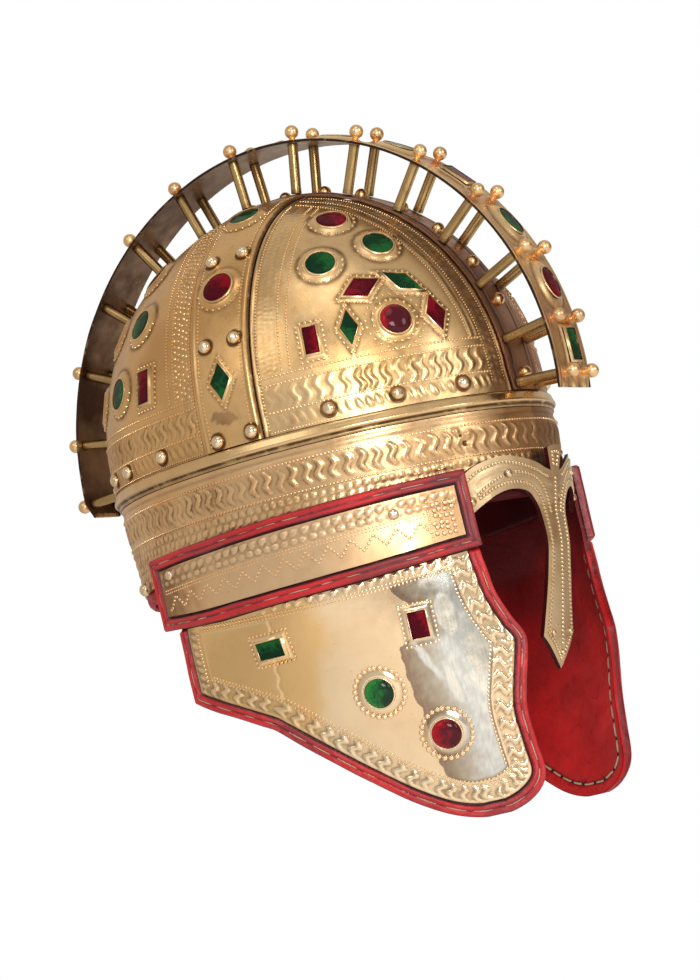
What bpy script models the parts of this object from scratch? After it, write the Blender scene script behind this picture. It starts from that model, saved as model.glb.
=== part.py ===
"""Late Roman ridge helmet with a jewelled crest hoop, side bands, a nasal guard and leather-backed cheek guards.

Metres, +Z up. The wearer looks along -Y, so the wearer's right side is -X. Every piece is a child of the empty
bowl_centre, which is the centre of the bowl and of the crest hoop, and heights below are measured from it. The
world's origin is the point of the lining's crown that rests on the head.
"""

import math

import bmesh
import bpy
from mathutils import Matrix, Vector
from mathutils.bvhtree import BVHTree

GAP = 0.0003
PLATE = 0.0012
LEATHER = 0.002

# Bowl: half an ellipsoid that runs down into an upright wall.
BOWL_HALF_WIDTH = 0.107
BOWL_HALF_LENGTH = 0.124
BOWL_HEIGHT = 0.124
PLATE_FOOT = -0.0123
WALL_BREAK = 0.030
WALL_TAPER = 0.07
WALL_SHIFT = 0.002
TURN_STEPS = 32
BOWL_RINGS = 5

# Layers, as distances out from the bowl plates' outer face.
LINING_IN = -PLATE - GAP - LEATHER
LINING_OUT = -PLATE - GAP
TRIM_IN = 2 * GAP
BAND_OUT = TRIM_IN + PLATE
RIDGE_OUT = TRIM_IN + 0.0016
HEAD_SEAT = BOWL_HEIGHT + LINING_IN

BAND_FRONT = -0.027
BAND_BACK = 0.007
RIDGE_HALF_WIDTH = 0.0135
BAND_STEPS = 11
RIDGE_STEPS = 24

BEAD_TOP = PLATE_FOOT - GAP
BEAD_FOOT = -0.021
BEAD_STEP = 0.0010
BEAD_ROUND = 0.0022
BEAD_OUT = 0.0024
BROW_TOP = BEAD_FOOT - GAP
BROW_FOOT = -0.066
BROW_FOOT_SLOPE = 0.004
LINING_LIP = 0.0006
LINING_ROLL = 0.0042
LINING_BULGE = 0.0010

# Crest hoop and its posts. Stations are angles in the middle plane, from level at the front over the top.
HOOP_IN = 0.1535
HOOP_OUT = 0.1548
HOOP_HALF_WIDTH = 0.0168
HOOP_START = -6.8
HOOP_END = 184.8
HOOP_STEPS = 42
HOOP_CHAMFER = 0.005
STATION_ENDS = (-3.9, 181.9)
STATION_FIRST = 6.8
STATION_STEP = 14.79
STATION_MIDDLES = 12
POST_SIDE = 0.0105
POST_RADIUS = 0.00285
ROUND_SIDES = 10
BALL_CENTRE = 0.160
BALL_RADIUS = 0.0038
NECK_RADIUS = 0.0016
# Rings of a ball above its neck: shares of its radius, out and up.
BALL_RINGS = ((1, -0.15), (0.75, 0.66), (0, 1))
MISSING_BALL = (10, -1)

# Flap: the surface of the cheek leather's outer face, an ellipse that leans in and grows longer as it drops.
FLAP_HALF_WIDTH = 0.1075
FLAP_HALF_LENGTH = 0.1275
FLAP_SHIFT = -0.003
FLAP_TOP = -0.097
FLAP_DROP = 0.128
FLAP_LEAN = 0.040
FLAP_SPREAD = 0.013
FLAP_BEND = 1.2
FLAP_ARC = 0.115
FLAP_CELL = 0.020
FLAP_CELLS = 14

CHEEK_RIM = 0.0065
CHEEK_RIM_OUT = 0.0026
RIM_SLOPE = 0.0006
CHEEK_PLATE_TOP = -0.0988
CHEEK_PLATE_OUT = 2 * GAP + PLATE
# Outline of the cheek leather on the wearer's right: how far back, and how high.
CHEEK_OUTLINE = (
    ("top back", 0.050, -0.0650),
    ("back below strip", 0.0545, -0.0980),
    ("back corner", 0.0605, -0.1340),
    ("bottom back", 0.0210, -0.1540),
    ("bottom 1", 0.0069, -0.1637),
    ("bottom 2", -0.0309, -0.1973),
    ("bottom 3", -0.0461, -0.2098),
    ("bottom 4", -0.0618, -0.2198),
    ("lowest", -0.0764, -0.2248),
    ("chin 1", -0.0909, -0.2253),
    ("chin 2", -0.1043, -0.2197),
    ("chin 3", -0.1110, -0.2100),
    ("front 1", -0.1114, -0.1930),
    ("front 2", -0.1116, -0.1770),
    ("front 3", -0.1144, -0.1625),
    ("waist", -0.1178, -0.1446),
    ("front 4", -0.1175, -0.1375),
    ("front 5", -0.1145, -0.1283),
    ("front 6", -0.1116, -0.1148),
    ("front below strip", -0.1100, -0.0980),
    ("top front", -0.1085, -0.0670),
)
CHEEK_LEVELS = (-0.125, -0.155, -0.185)

STRIP_IN = GAP
STRIP_FLOOR = STRIP_IN + LEATHER
STRIP_RIM = 0.0065
STRIP_RIM_OUT = STRIP_FLOOR + 0.0026
STRIP_PLATE_IN = STRIP_FLOOR + 2 * GAP
# Outline of the side strip's leather on the wearer's right.
STRIP_OUTLINE = (
    ("top front", -0.1095, -0.0505),
    ("top back", 0.0650, -0.0560),
    ("bottom back", 0.0640, -0.0940),
    ("bottom middle back", 0.0200, -0.0970),
    ("bottom middle front", -0.0600, -0.0955),
    ("bottom front", -0.1100, -0.0905),
)

NASAL_THICK = 0.0022
NASAL_OUT = 0.0006 + NASAL_THICK
NASAL_PEAK = 0.0055
NASAL_PEAK_WIDTH = 0.030
NASAL_SLANT = 0.245
NASAL_SLANT_TOP = -0.055
NASAL_FLAT = 0.018
NASAL_BLEND = 0.045
NASAL_COLUMN = 0.012
NASAL_LEVELS = (-0.060, -0.068, -0.080, -0.118)
# Outline of the wearer's right half of the brow arches and nasal guard, from the tongue down to the tip.
NASAL_OUTLINE = (
    ("tongue top", 0.0, -0.0440),
    ("tongue side", 0.0075, -0.0450),
    ("notch", 0.0045, -0.0570),
    ("arch outer 1", 0.0090, -0.0555),
    ("arch outer 2", 0.0160, -0.0520),
    ("arch outer 3", 0.0250, -0.0488),
    ("arch outer 4", 0.0365, -0.0465),
    ("arch outer 5", 0.0500, -0.0494),
    ("arch end top", 0.0590, -0.0555),
    ("arch end foot", 0.0575, -0.0758),
    ("arch inner 5", 0.0496, -0.0702),
    ("arch inner 4", 0.0403, -0.0655),
    ("arch inner 3", 0.0310, -0.0640),
    ("arch inner 2", 0.0215, -0.0663),
    ("arch inner 1", 0.0155, -0.0726),
    ("nasal root", 0.0128, -0.0800),
    ("nasal neck", 0.0117, -0.0970),
    ("nasal middle", 0.0130, -0.1180),
    ("nasal foot", 0.0160, -0.1405),
    ("nasal tip", 0.0, -0.1580),
)

# Where a stone's cut corners start, as shares of its half length and half width.
STONE_CORNERS = {"bar": (0.8, 0.6), "lozenge": (0.12, 0.12)}
STONE_ROOT = 0.0008
STONE_HEIGHT = 0.0018
TABLE_SHARE = 0.62
SEAT_HEIGHT = 0.0012
GEM_HEIGHT = 0.0036
GIRDLE_SHARE = 0.45
SEAT_MARGIN = 0.0012
SETTLE_REACH = 0.02

# Stones on the wearer's right: kind, how far back, how high, half length, half width and tilt from upright.
FRONT_STONES = (
    ("round", -0.0582, 0.0964, 0.0082, 0.0082, 0),
    ("round", -0.0610, 0.0713, 0.0080, 0.0080, 0),
    ("round", -0.0823, 0.0769, 0.0083, 0.0083, 0),
    ("lozenge", -0.0800, 0.0532, 0.0106, 0.0054, 95),
    ("lozenge", -0.0961, 0.0537, 0.0106, 0.0050, 40),
    ("lozenge", -0.1086, 0.0324, 0.0100, 0.0052, -5),
    ("lozenge", -0.0756, 0.0331, 0.0086, 0.0048, -15),
    ("bar", -0.0581, 0.0310, 0.0076, 0.0037, 0),
)
BAND_STONES = (
    ("round", -0.0085, 0.1110, 0.0085, 0.0085, 0),
    ("round", -0.0085, 0.0716, 0.0088, 0.0088, 0),
    ("lozenge", -0.0095, 0.0219, 0.0088, 0.0050, 0),
)
REAR_STONES = (
    ("round", 0.0510, 0.0960, 0.0082, 0.0082, 0),
    ("round", 0.0500, 0.0686, 0.0085, 0.0085, 0),
    ("round", 0.0810, 0.0700, 0.0082, 0.0082, 0),
    ("round", 0.0700, 0.0362, 0.0085, 0.0085, 0),
    ("round", 0.0990, 0.0361, 0.0082, 0.0082, 0),
    ("bar", 0.0447, 0.0333, 0.0076, 0.0037, 0),
)
BROW_RUBY = ("round", -0.0939, 0.0329, 0.0083, 0.0083, 0)
# Cheek stones: name, kind, how far back, how high, half height, half width.
CHEEK_STONES = (
    ("cheek_emerald_bar", "bar", -0.0035, -0.1178, 0.0040, 0.0068),
    ("cheek_ruby_bar", "bar", -0.0788, -0.1233, 0.0060, 0.0040),
    ("cheek_emerald", "round", -0.0507, -0.1522, 0.0078, 0.0078),
    ("cheek_ruby", "round", -0.0747, -0.1796, 0.0078, 0.0078),
)
HOOP_OVAL = (0.0092, 0.0060)
HOOP_BAR = (0.0085, 0.0034)

# Finishes: colour, roughness, metallic.
FINISHES = {
    "brass": ((0.80, 0.60, 0.29, 1), 0.28, 1.0),
    "dark brass": ((0.45, 0.30, 0.15, 1), 0.42, 1.0),
    "red leather": ((0.42, 0.02, 0.03, 1), 0.45, 0.0),
    "dark leather": ((0.16, 0.015, 0.02, 1), 0.6, 0.0),
    "ruby": ((0.45, 0.0, 0.03, 1), 0.08, 0.0),
    "emerald": ((0.0, 0.22, 0.07, 1), 0.08, 0.0),
}


def clear_scene():
    for obj in list(bpy.data.objects):
        bpy.data.objects.remove(obj, do_unlink=True)


def finish(name):
    """The material of this name, made the first time that it is asked for."""
    found = bpy.data.materials.get(name)
    if found:
        return found
    colour, roughness, metallic = FINISHES[name]
    made = bpy.data.materials.new(name)
    made.use_nodes = True
    shader = made.node_tree.nodes["Principled BSDF"]
    shader.inputs["Base Color"].default_value = colour
    shader.inputs["Roughness"].default_value = roughness
    shader.inputs["Metallic"].default_value = metallic
    return made


def put(name, bm, material):
    """Makes the mesh an object under bowl_centre."""
    bmesh.ops.recalc_face_normals(bm, faces=bm.faces)
    mesh = bpy.data.meshes.new(name)
    bm.to_mesh(mesh)
    bm.free()
    mesh.materials.append(finish(material))
    mesh.shade_smooth()
    mesh.set_sharp_from_angle(angle=math.radians(35))
    obj = bpy.data.objects.new(name, mesh)
    bpy.context.scene.collection.objects.link(obj)
    obj.parent = bpy.data.objects["bowl_centre"]
    return obj


def mirrored(source, name):
    """The same piece on the wearer's left."""
    bm = bmesh.new()
    bm.from_mesh(source.data)
    bmesh.ops.scale(bm, vec=(-1, 1, 1), verts=bm.verts)
    bmesh.ops.reverse_faces(bm, faces=bm.faces)
    return put(name, bm, source.data.materials[0].name)


def join_loose(target, extras):
    """Fuses the closed meshes in extras to the target and deletes them."""
    tool = target.modifiers.new("fused", "BOOLEAN")
    tool.operation = "UNION"
    tool.solver = "EXACT"
    tool.object = extras
    graph = bpy.context.evaluated_depsgraph_get()
    graph.update()
    fused = bpy.data.meshes.new_from_object(target.evaluated_get(graph))
    target.modifiers.clear()
    target.data = fused
    bpy.data.objects.remove(extras, do_unlink=True)


def wall(turn, height, offset):
    """A point of the helmet's wall: turn is 0 at the front and a quarter turn on the wearer's right."""
    if height > 0:
        lift = min(height / BOWL_HEIGHT, 1)
        shrink = math.sqrt(1 - lift * lift)
        centre, drop, top = 0, 0, (BOWL_HEIGHT + offset) * lift
    else:
        shrink, top = 1, height
        centre = -WALL_SHIFT * min(-height / WALL_BREAK, 1)
        drop = WALL_TAPER * max(-height - WALL_BREAK, 0)
    across = (BOWL_HALF_WIDTH + offset) * shrink - drop
    along = (BOWL_HALF_LENGTH + offset) * shrink - drop
    return Vector((-across * math.sin(turn), centre - along * math.cos(turn), top))


def swept(profile, steps=TURN_STEPS):
    """A ring round the wall or, where the profile starts and ends at the bowl's height, a cap.

    Each entry of the profile is a height, plain or as a function of the turn, and a distance out. With half of
    the steps it is only the wearer's right half, closed at the middle plane.
    """
    bm = bmesh.new()
    whole = steps == TURN_STEPS
    rows = []
    for height, offset in profile:
        if height == BOWL_HEIGHT:
            rows.append([bm.verts.new(wall(0, height, offset))])
            continue
        row = []
        for step in range(steps if whole else steps + 1):
            turn = math.tau * step / TURN_STEPS
            level = height(turn) if callable(height) else height
            row.append(bm.verts.new(wall(turn, level, offset)))
        rows.append(row)
    pairs = list(zip(rows, rows[1:]))
    if len(rows[0]) > 1 or not whole:
        pairs.append((rows[-1], rows[0]))
    for first, second in pairs:
        if len(first) == len(second) == 1:
            continue
        for step in range(steps):
            corners = [row[i % len(row)] for row, i in
                       ((first, step), (first, step + 1), (second, step + 1), (second, step))]
            bm.faces.new(list(dict.fromkeys(corners)))
    if not whole:
        for end in (0, steps):
            bm.faces.new([row[end % len(row)] for row in rows])
        for vert in bm.verts:
            vert.co.x = min(vert.co.x, -GAP / 2)
    return bm


def bowl_heights():
    """The heights of the bowl's rings, from the crown down to its centre's level."""
    tilts = [math.pi / 2 * ring / (BOWL_RINGS + 1) for ring in range(BOWL_RINGS, -1, -1)]
    return [BOWL_HEIGHT * math.sin(tilt) for tilt in tilts]


def half_cap(low, high, foot):
    down = [(height, high) for height in [BOWL_HEIGHT] + bowl_heights()]
    up = [(height, low) for height, _ in reversed(down)]
    return swept(down + [(foot, high), (foot, low)] + up, TURN_STEPS // 2)


def slice_off(bm, point, normal):
    """Removes what lies beyond a plane, on the side of its normal, and closes the cut."""
    bmesh.ops.triangulate(bm, faces=[face for face in bm.faces if len(face.verts) > 3])
    found = bmesh.ops.bisect_plane(
        bm, geom=bm.verts[:] + bm.edges[:] + bm.faces[:], dist=1e-7,
        plane_co=point, plane_no=normal, clear_outer=True)
    edges = [item for item in found["geom_cut"] if isinstance(item, bmesh.types.BMEdge)]
    bmesh.ops.triangle_fill(bm, edges=edges, normal=normal, use_beauty=True)


def bowl_plate(front):
    """A quarter of the bowl; its inner edges lie hidden under the ridge strip and the side band."""
    bm = half_cap(-PLATE, 0, PLATE_FOOT)
    middle = (BAND_FRONT + BAND_BACK) / 2
    beyond = Vector((0, 1 if front else -1, 0))
    slice_off(bm, Vector((0, middle, 0)) - beyond * GAP / 2, beyond)
    return bm


def band_point(back, share, offset):
    """A point of a hoop over the bowl this far back: the share runs from the plates' foot up to the ridge strip."""
    shrink = math.sqrt(1 - (back / BOWL_HALF_LENGTH) ** 2)
    across = (BOWL_HALF_WIDTH + offset) * shrink
    top = (BOWL_HEIGHT + offset) * shrink
    foot = math.asin(PLATE_FOOT / top)
    rise = foot + (math.acos((RIDGE_HALF_WIDTH + GAP) / across) - foot) * share
    return Vector((-across * math.cos(max(rise, 0)), back, top * math.sin(rise)))


def side_band():
    columns = [BAND_FRONT, (BAND_FRONT + BAND_BACK) / 2, BAND_BACK]
    bm = flat_grid(columns, [row / BAND_STEPS for row in range(BAND_STEPS + 1)], BAND_OUT)
    return thicken(bm, band_point, TRIM_IN)


def ridge_point(across, share, offset):
    """A point of the strip over the bowl's middle: the share runs from the plates' foot at the front to the back."""
    shrink = math.sqrt(1 - (across / BOWL_HALF_WIDTH) ** 2)
    along = (BOWL_HALF_LENGTH + offset) * shrink
    top = (BOWL_HEIGHT + offset) * shrink
    foot = math.asin(PLATE_FOOT / top)
    swing = foot + (math.pi - 2 * foot) * share
    height = top * math.sin(swing)
    if height < 0:
        centre = WALL_SHIFT * height / WALL_BREAK
        return Vector((across, centre - math.copysign(along, math.cos(swing)), height))
    return Vector((across, -along * math.cos(swing), height))


def ridge_strip():
    columns = [-RIDGE_HALF_WIDTH, 0, RIDGE_HALF_WIDTH]
    bm = flat_grid(columns, [row / RIDGE_STEPS for row in range(RIDGE_STEPS + 1)], RIDGE_OUT)
    return thicken(bm, ridge_point, TRIM_IN)


def brow_foot(turn):
    """The brow band's foot is lower at the nape than at the brow."""
    return BROW_FOOT + BROW_FOOT_SLOPE * math.cos(turn)


def rim_bead():
    return swept([
        (BEAD_TOP, -PLATE), (BEAD_TOP, BEAD_STEP), (BEAD_TOP - BEAD_ROUND, BEAD_OUT),
        (BEAD_FOOT, BEAD_STEP), (BEAD_FOOT, -PLATE),
    ])


def brow_band():
    return swept([
        (BROW_TOP, -PLATE), (BROW_TOP, 0), (-WALL_BREAK, 0),
        (brow_foot, 0), (brow_foot, -PLATE), (-WALL_BREAK, -PLATE),
    ])


def lining():
    """The leather cap, with its edge rolled below the brow band."""
    def roll(down):
        return lambda turn: brow_foot(turn) - down
    heights = [BOWL_HEIGHT] + bowl_heights() + [-WALL_BREAK]
    down = [(height, LINING_OUT) for height in heights]
    up = [(height, LINING_IN) for height in reversed(heights)]
    edge = [
        (roll(LINING_LIP), LINING_OUT),
        (roll(LINING_ROLL * 0.6), LINING_OUT + LINING_BULGE),
        (roll(LINING_ROLL * 1.6), LINING_OUT - LINING_BULGE),
        (roll(0), LINING_IN),
    ]
    return swept(down + edge + up)


def flap(arc, height, offset):
    """A point of the cheek and strip surface on the wearer's right, flat between the cuts.

    The arc is a length along the surface from the front.
    """
    drop = max(FLAP_TOP - height, 0) / FLAP_DROP
    across = FLAP_HALF_WIDTH - FLAP_LEAN * drop ** FLAP_BEND + offset
    along = FLAP_HALF_LENGTH + FLAP_SPREAD * drop + offset
    cell, share = divmod(arc / FLAP_CELL, 1)
    ends = [Vector((-across * math.sin(turn), FLAP_SHIFT - along * math.cos(turn), height))
            for turn in (cell * FLAP_CELL / FLAP_ARC, (cell + 1) * FLAP_CELL / FLAP_ARC)]
    return ends[0].lerp(ends[1], share)


def flap_arc(back, height):
    """The arc at which the flap lies this far back."""
    drop = max(FLAP_TOP - height, 0) / FLAP_DROP
    along = FLAP_HALF_LENGTH + FLAP_SPREAD * drop
    return FLAP_ARC * math.acos((FLAP_SHIFT - back) / along)


def flap_outline(table):
    return [Vector((flap_arc(back, height), height)) for _, back, height in table]


def inset(outline, distance):
    """The outline moved inwards, whichever way round it runs."""
    area = sum(a.cross(b) for a, b in zip(outline, outline[1:] + outline[:1]))
    side = math.copysign(distance, area)
    moved = []
    for i, point in enumerate(outline):
        into = (point - outline[i - 1]).normalized()
        onward = (outline[(i + 1) % len(outline)] - point).normalized()
        across = Vector((-into.y - onward.y, into.x + onward.x)).normalized()
        stretch = across.dot(Vector((-into.y, into.x)))
        moved.append(point + across * side / max(stretch, 0.5))
    return moved


def sheet(loops, tops):
    """A flat mesh with nested outlines, whose z holds how far out the upper face lies there."""
    bm = bmesh.new()
    rings = [[bm.verts.new((*point, top(point))) for point in loop] for loop, top in zip(loops, tops)]
    for outer, inner in zip(rings, rings[1:]):
        count = len(outer)
        for i in range(count):
            after = (i + 1) % count
            bm.faces.new((outer[i], outer[after], inner[after], inner[i]))
    bm.faces.new(rings[-1])
    return bm


def flat_grid(across, along, top):
    """A flat mesh of cells between lists of places, whose z holds how far out the upper face lies."""
    bm = bmesh.new()
    rows = [[bm.verts.new((x, y, top)) for x in across] for y in along]
    for first, second in zip(rows, rows[1:]):
        for i in range(len(across) - 1):
            bm.faces.new((first[i], first[i + 1], second[i + 1], second[i]))
    return bm


def cut_lines(bm, axis, places):
    """Splits the faces of a flat mesh along lines."""
    for place in places:
        normal = Vector((0, 0, 0))
        normal[axis] = 1
        bmesh.ops.bisect_plane(
            bm, geom=bm.verts[:] + bm.edges[:] + bm.faces[:], dist=1e-6,
            plane_co=normal * place, plane_no=normal)


def thicken(bm, place, low, under=None):
    """Turns the flat mesh into a closed solid down to a low face, which may be a plainer mesh of the same outline."""
    under = under or bm
    solid = bmesh.new()
    rims = []
    for flat, lower in ((bm, False), (under, True)):
        bmesh.ops.triangulate(flat, faces=flat.faces)
        made = {vert: solid.verts.new(place(vert.co.x, vert.co.y, low if lower else vert.co.z))
                for vert in flat.verts}
        for face in flat.faces:
            solid.faces.new([made[vert] for vert in face.verts])
        rims.append({(round(vert.co.x, 6), round(vert.co.y, 6)): made[vert]
                     for vert in flat.verts if vert.is_boundary})
    for edge in bm.edges:
        if edge.is_boundary:
            a, b = [(round(vert.co.x, 6), round(vert.co.y, 6)) for vert in edge.verts]
            solid.faces.new((rims[0][a], rims[0][b], rims[1][b], rims[1][a]))
    for flat in {bm, under}:
        flat.free()
    return solid


def flap_cuts():
    return [FLAP_CELL * i for i in range(1, FLAP_CELLS)]


def level(value):
    return lambda point: value


def cheek_rim(point):
    """The folded rim stands proud only below the side strip."""
    return CHEEK_RIM_OUT if point.y < FLAP_TOP - 0.002 else 0


def cheek_leather():
    outline = flap_outline(CHEEK_OUTLINE)
    loops = [outline, inset(outline, CHEEK_RIM), inset(outline, CHEEK_RIM + RIM_SLOPE)]
    bm = sheet(loops, [cheek_rim, cheek_rim, level(0)])
    under = sheet([outline], [level(0)])
    for flat in (bm, under):
        cut_lines(flat, 0, flap_cuts())
        cut_lines(flat, 1, CHEEK_LEVELS)
    return thicken(bm, flap, -LEATHER, under)


def cheek_plate():
    outline = inset(flap_outline(CHEEK_OUTLINE), CHEEK_RIM + RIM_SLOPE + GAP)
    bm = sheet([outline], [level(CHEEK_PLATE_OUT)])
    cut_lines(bm, 0, flap_cuts())
    cut_lines(bm, 1, CHEEK_LEVELS)
    above = Vector((0, CHEEK_PLATE_TOP, 0))
    bmesh.ops.bisect_plane(
        bm, geom=bm.verts[:] + bm.edges[:] + bm.faces[:], dist=1e-6,
        plane_co=above, plane_no=(0, 1, 0), clear_outer=True)
    return thicken(bm, flap, CHEEK_PLATE_OUT - PLATE)


def strip_leather():
    outline = flap_outline(STRIP_OUTLINE)
    loops = [outline, inset(outline, STRIP_RIM), inset(outline, STRIP_RIM + RIM_SLOPE)]
    bm = sheet(loops, [level(STRIP_RIM_OUT), level(STRIP_RIM_OUT), level(STRIP_FLOOR)])
    under = sheet([outline], [level(0)])
    for flat in (bm, under):
        cut_lines(flat, 0, flap_cuts())
    return thicken(bm, flap, STRIP_IN, under)


def strip_plate():
    outline = inset(flap_outline(STRIP_OUTLINE), STRIP_RIM + RIM_SLOPE + GAP)
    bm = sheet([outline], [level(STRIP_PLATE_IN + PLATE)])
    cut_lines(bm, 0, flap_cuts())
    return thicken(bm, flap, STRIP_PLATE_IN)


def brow_face(across, height, offset):
    """The brow guard's surface: it follows the brow band at the sides, peaks in the middle and slants back."""
    band = wall(0, BROW_FOOT, 0)
    side = wall(math.pi / 2, BROW_FOOT, 0)
    centre = side.y
    ring = (centre - band.y) * math.sqrt(1 - (across / side.x) ** 2)
    peak = NASAL_PEAK * math.exp(-(across / NASAL_PEAK_WIDTH) ** 2)
    blend = min(max((NASAL_BLEND - abs(across)) / (NASAL_BLEND - NASAL_FLAT), 0), 1)
    slant = NASAL_SLANT * blend * (NASAL_SLANT_TOP - height)
    upright = WALL_TAPER * (1 - blend) * (height - BROW_FOOT)
    return Vector((across, centre - ring - peak - upright + slant - offset, height))


def nasal_guard():
    right = [Vector((-across, height)) for _, across, height in NASAL_OUTLINE]
    left = [Vector((-point.x, point.y)) for point in reversed(right[1:-1])]
    bm = sheet([right + left], [level(NASAL_OUT)])
    cut_lines(bm, 0, [NASAL_COLUMN * i for i in range(-4, 5)])
    cut_lines(bm, 1, NASAL_LEVELS)
    return thicken(bm, brow_face, NASAL_OUT - NASAL_THICK)


def sweep_place(angle, across, radius):
    """A point by its angle in the middle plane, its distance to the side and its distance from the centre."""
    turn = math.radians(angle)
    return Vector((across, -radius * math.cos(turn), radius * math.sin(turn)))


def frame_at(point, normal, up):
    """A matrix whose z is the normal and whose x is as near to up as it can be."""
    z = normal.normalized()
    y = z.cross(up).normalized()
    x = y.cross(z)
    turned = Matrix((x, y, z)).transposed().to_4x4()
    return Matrix.Translation(point) @ turned


def hoop_frame(angle, across, radius):
    point = sweep_place(angle, across, radius)
    outward = sweep_place(angle, 0, 1)
    along = sweep_place(angle + 90, 0, 1)
    return frame_at(point, outward, along)


def stations():
    middles = [STATION_FIRST + STATION_STEP * i for i in range(STATION_MIDDLES)]
    return [STATION_ENDS[0]] + middles + [STATION_ENDS[1]]


def turned(bm, place, rings):
    """Adds a closed turned body: rings are (radius, height) with a point at each end where the radius is 0."""
    rows = []
    for radius, height in rings:
        if radius == 0:
            rows.append([bm.verts.new(place @ Vector((0, 0, height)))])
            continue
        angles = [math.tau * i / ROUND_SIDES for i in range(ROUND_SIDES)]
        rows.append([bm.verts.new(place @ Vector((radius * math.cos(a), radius * math.sin(a), height)))
                     for a in angles])
    for first, second in zip(rows, rows[1:]):
        for i in range(ROUND_SIDES):
            after = (i + 1) % ROUND_SIDES
            corners = [row[j % len(row)] for row, j in
                       ((first, i), (first, after), (second, after), (second, i))]
            bm.faces.new(list(dict.fromkeys(corners)))
    for row in (rows[0], rows[-1]):
        if len(row) > 1:
            bm.faces.new(row)


def hoop_band():
    bm = bmesh.new()
    rows = []
    for step in range(HOOP_STEPS + 1):
        angle = HOOP_START + (HOOP_END - HOOP_START) * step / HOOP_STEPS
        half = HOOP_HALF_WIDTH - (HOOP_CHAMFER if step == HOOP_STEPS else 0)
        corners = ((-half, HOOP_IN), (half, HOOP_IN), (half, HOOP_OUT), (-half, HOOP_OUT))
        rows.append([bm.verts.new(sweep_place(angle, across, radius)) for across, radius in corners])
    for first, second in zip(rows, rows[1:]):
        for i in range(4):
            after = (i + 1) % 4
            bm.faces.new((first[i], first[after], second[after], second[i]))
    bm.faces.new(rows[0])
    bm.faces.new(rows[-1])
    return bm


def ball_heads():
    bm = bmesh.new()
    sunk = (HOOP_IN + HOOP_OUT) / 2
    rings = [(NECK_RADIUS, sunk - BALL_CENTRE)]
    rings += [(BALL_RADIUS * out, BALL_RADIUS * up) for out, up in BALL_RINGS]
    for number, angle in enumerate(stations()):
        for side in (-1, 1):
            if (number, side) != MISSING_BALL:
                turned(bm, hoop_frame(angle, side * POST_SIDE, BALL_CENTRE), rings)
    return bm


def stone_outline(kind, half_length, half_width):
    """Eight corners of a round, bar or lozenge stone, long way along x."""
    if kind == "round":
        angles = [math.tau * (i + 0.5) / 8 for i in range(8)]
        return [Vector((half_length * math.cos(a), half_width * math.sin(a))) for a in angles]
    near_end, near_side = STONE_CORNERS[kind]
    quarter = [(1, near_side), (near_end, 1)]
    half = quarter + [(-x, y) for x, y in reversed(quarter)]
    return [Vector((half_length * x, half_width * y)) for x, y in half + [(-x, -y) for x, y in half]]


def stack(bm, place, outline, levels):
    """Adds a closed body through copies of the outline, each at a height and a share of its size."""
    rows = []
    for height, share in levels:
        rows.append([bm.verts.new(place @ Vector((*(corner * share), height))) for corner in outline])
    count = len(outline)
    for first, second in zip(rows, rows[1:]):
        for i in range(count):
            after = (i + 1) % count
            bm.faces.new((first[i], first[after], second[after], second[i]))
    bm.faces.new(rows[0])
    bm.faces.new(rows[-1])


def faces_of(plate):
    return BVHTree.FromPolygons([v.co for v in plate.data.vertices], [p.vertices for p in plate.data.polygons])


def settle(faces, point, normal):
    """The point moved along the normal onto the outermost face."""
    hit = faces.ray_cast(point + normal * SETTLE_REACH, -normal, 2 * SETTLE_REACH)[0]
    return hit if hit else point


def bowl_frame(faces, back, height, tilt):
    """A frame on the bowl's wearer's right side, with x turned by tilt degrees from upright."""
    inside = 1 - (back / BOWL_HALF_LENGTH) ** 2 - (height / BOWL_HEIGHT) ** 2
    point = Vector((-BOWL_HALF_WIDTH * math.sqrt(inside), back, height))
    normal = Vector((point.x / BOWL_HALF_WIDTH ** 2, back / BOWL_HALF_LENGTH ** 2, height / BOWL_HEIGHT ** 2))
    normal.normalize()
    place = frame_at(settle(faces, point, normal), normal, Vector((0, 0, 1)))
    return place @ Matrix.Rotation(math.radians(tilt), 4, "Z")


def fixed_stones(plate, table):
    bm = bmesh.new()
    faces = faces_of(plate)
    for kind, back, height, half_length, half_width, tilt in table:
        place = bowl_frame(faces, back, height, tilt)
        outline = stone_outline(kind, half_length, half_width)
        stack(bm, place, outline, ((-STONE_ROOT, 1), (STONE_HEIGHT, TABLE_SHARE)))
    return bm


def hoop_stones():
    bm = bmesh.new()
    marks = stations()
    for number, (first, second) in enumerate(zip(marks, marks[1:])):
        kind, size = ("bar", HOOP_BAR) if number % 3 == 0 else ("round", HOOP_OVAL)
        place = hoop_frame((first + second) / 2, 0, HOOP_OUT)
        stack(bm, place, stone_outline(kind, *size), ((-STONE_ROOT, 1), (STONE_HEIGHT, TABLE_SHARE)))
    return bm


def flap_frame(faces, back, height):
    """A frame on the cheek plate, with x pointing up along it."""
    arc = flap_arc(back, height)
    point = flap(arc, height, 0)
    up = flap(arc, height + 0.001, 0) - point
    onward = flap(arc + 0.001, height, 0) - point
    normal = up.cross(onward).normalized()
    return frame_at(settle(faces, point, normal), normal, up)


def seat_and_gem(place, kind, half_length, half_width):
    """The raised seat that is fused to a plate, and the cut stone that lies on it."""
    seat, gem = bmesh.new(), bmesh.new()
    outline = stone_outline(kind, half_length, half_width)
    spread = 1 + SEAT_MARGIN / half_width
    stack(seat, place, outline, ((-STONE_ROOT, spread), (SEAT_HEIGHT, spread)))
    foot = SEAT_HEIGHT + GAP
    stack(gem, place, outline, (
        (foot, 1), (foot + GEM_HEIGHT * GIRDLE_SHARE, 1), (foot + GEM_HEIGHT, TABLE_SHARE)))
    return seat, gem


def on_both_sides(name, bm, material):
    right = put(name + "_right", bm, material)
    mirrored(right, name + "_left")
    return right


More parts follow.
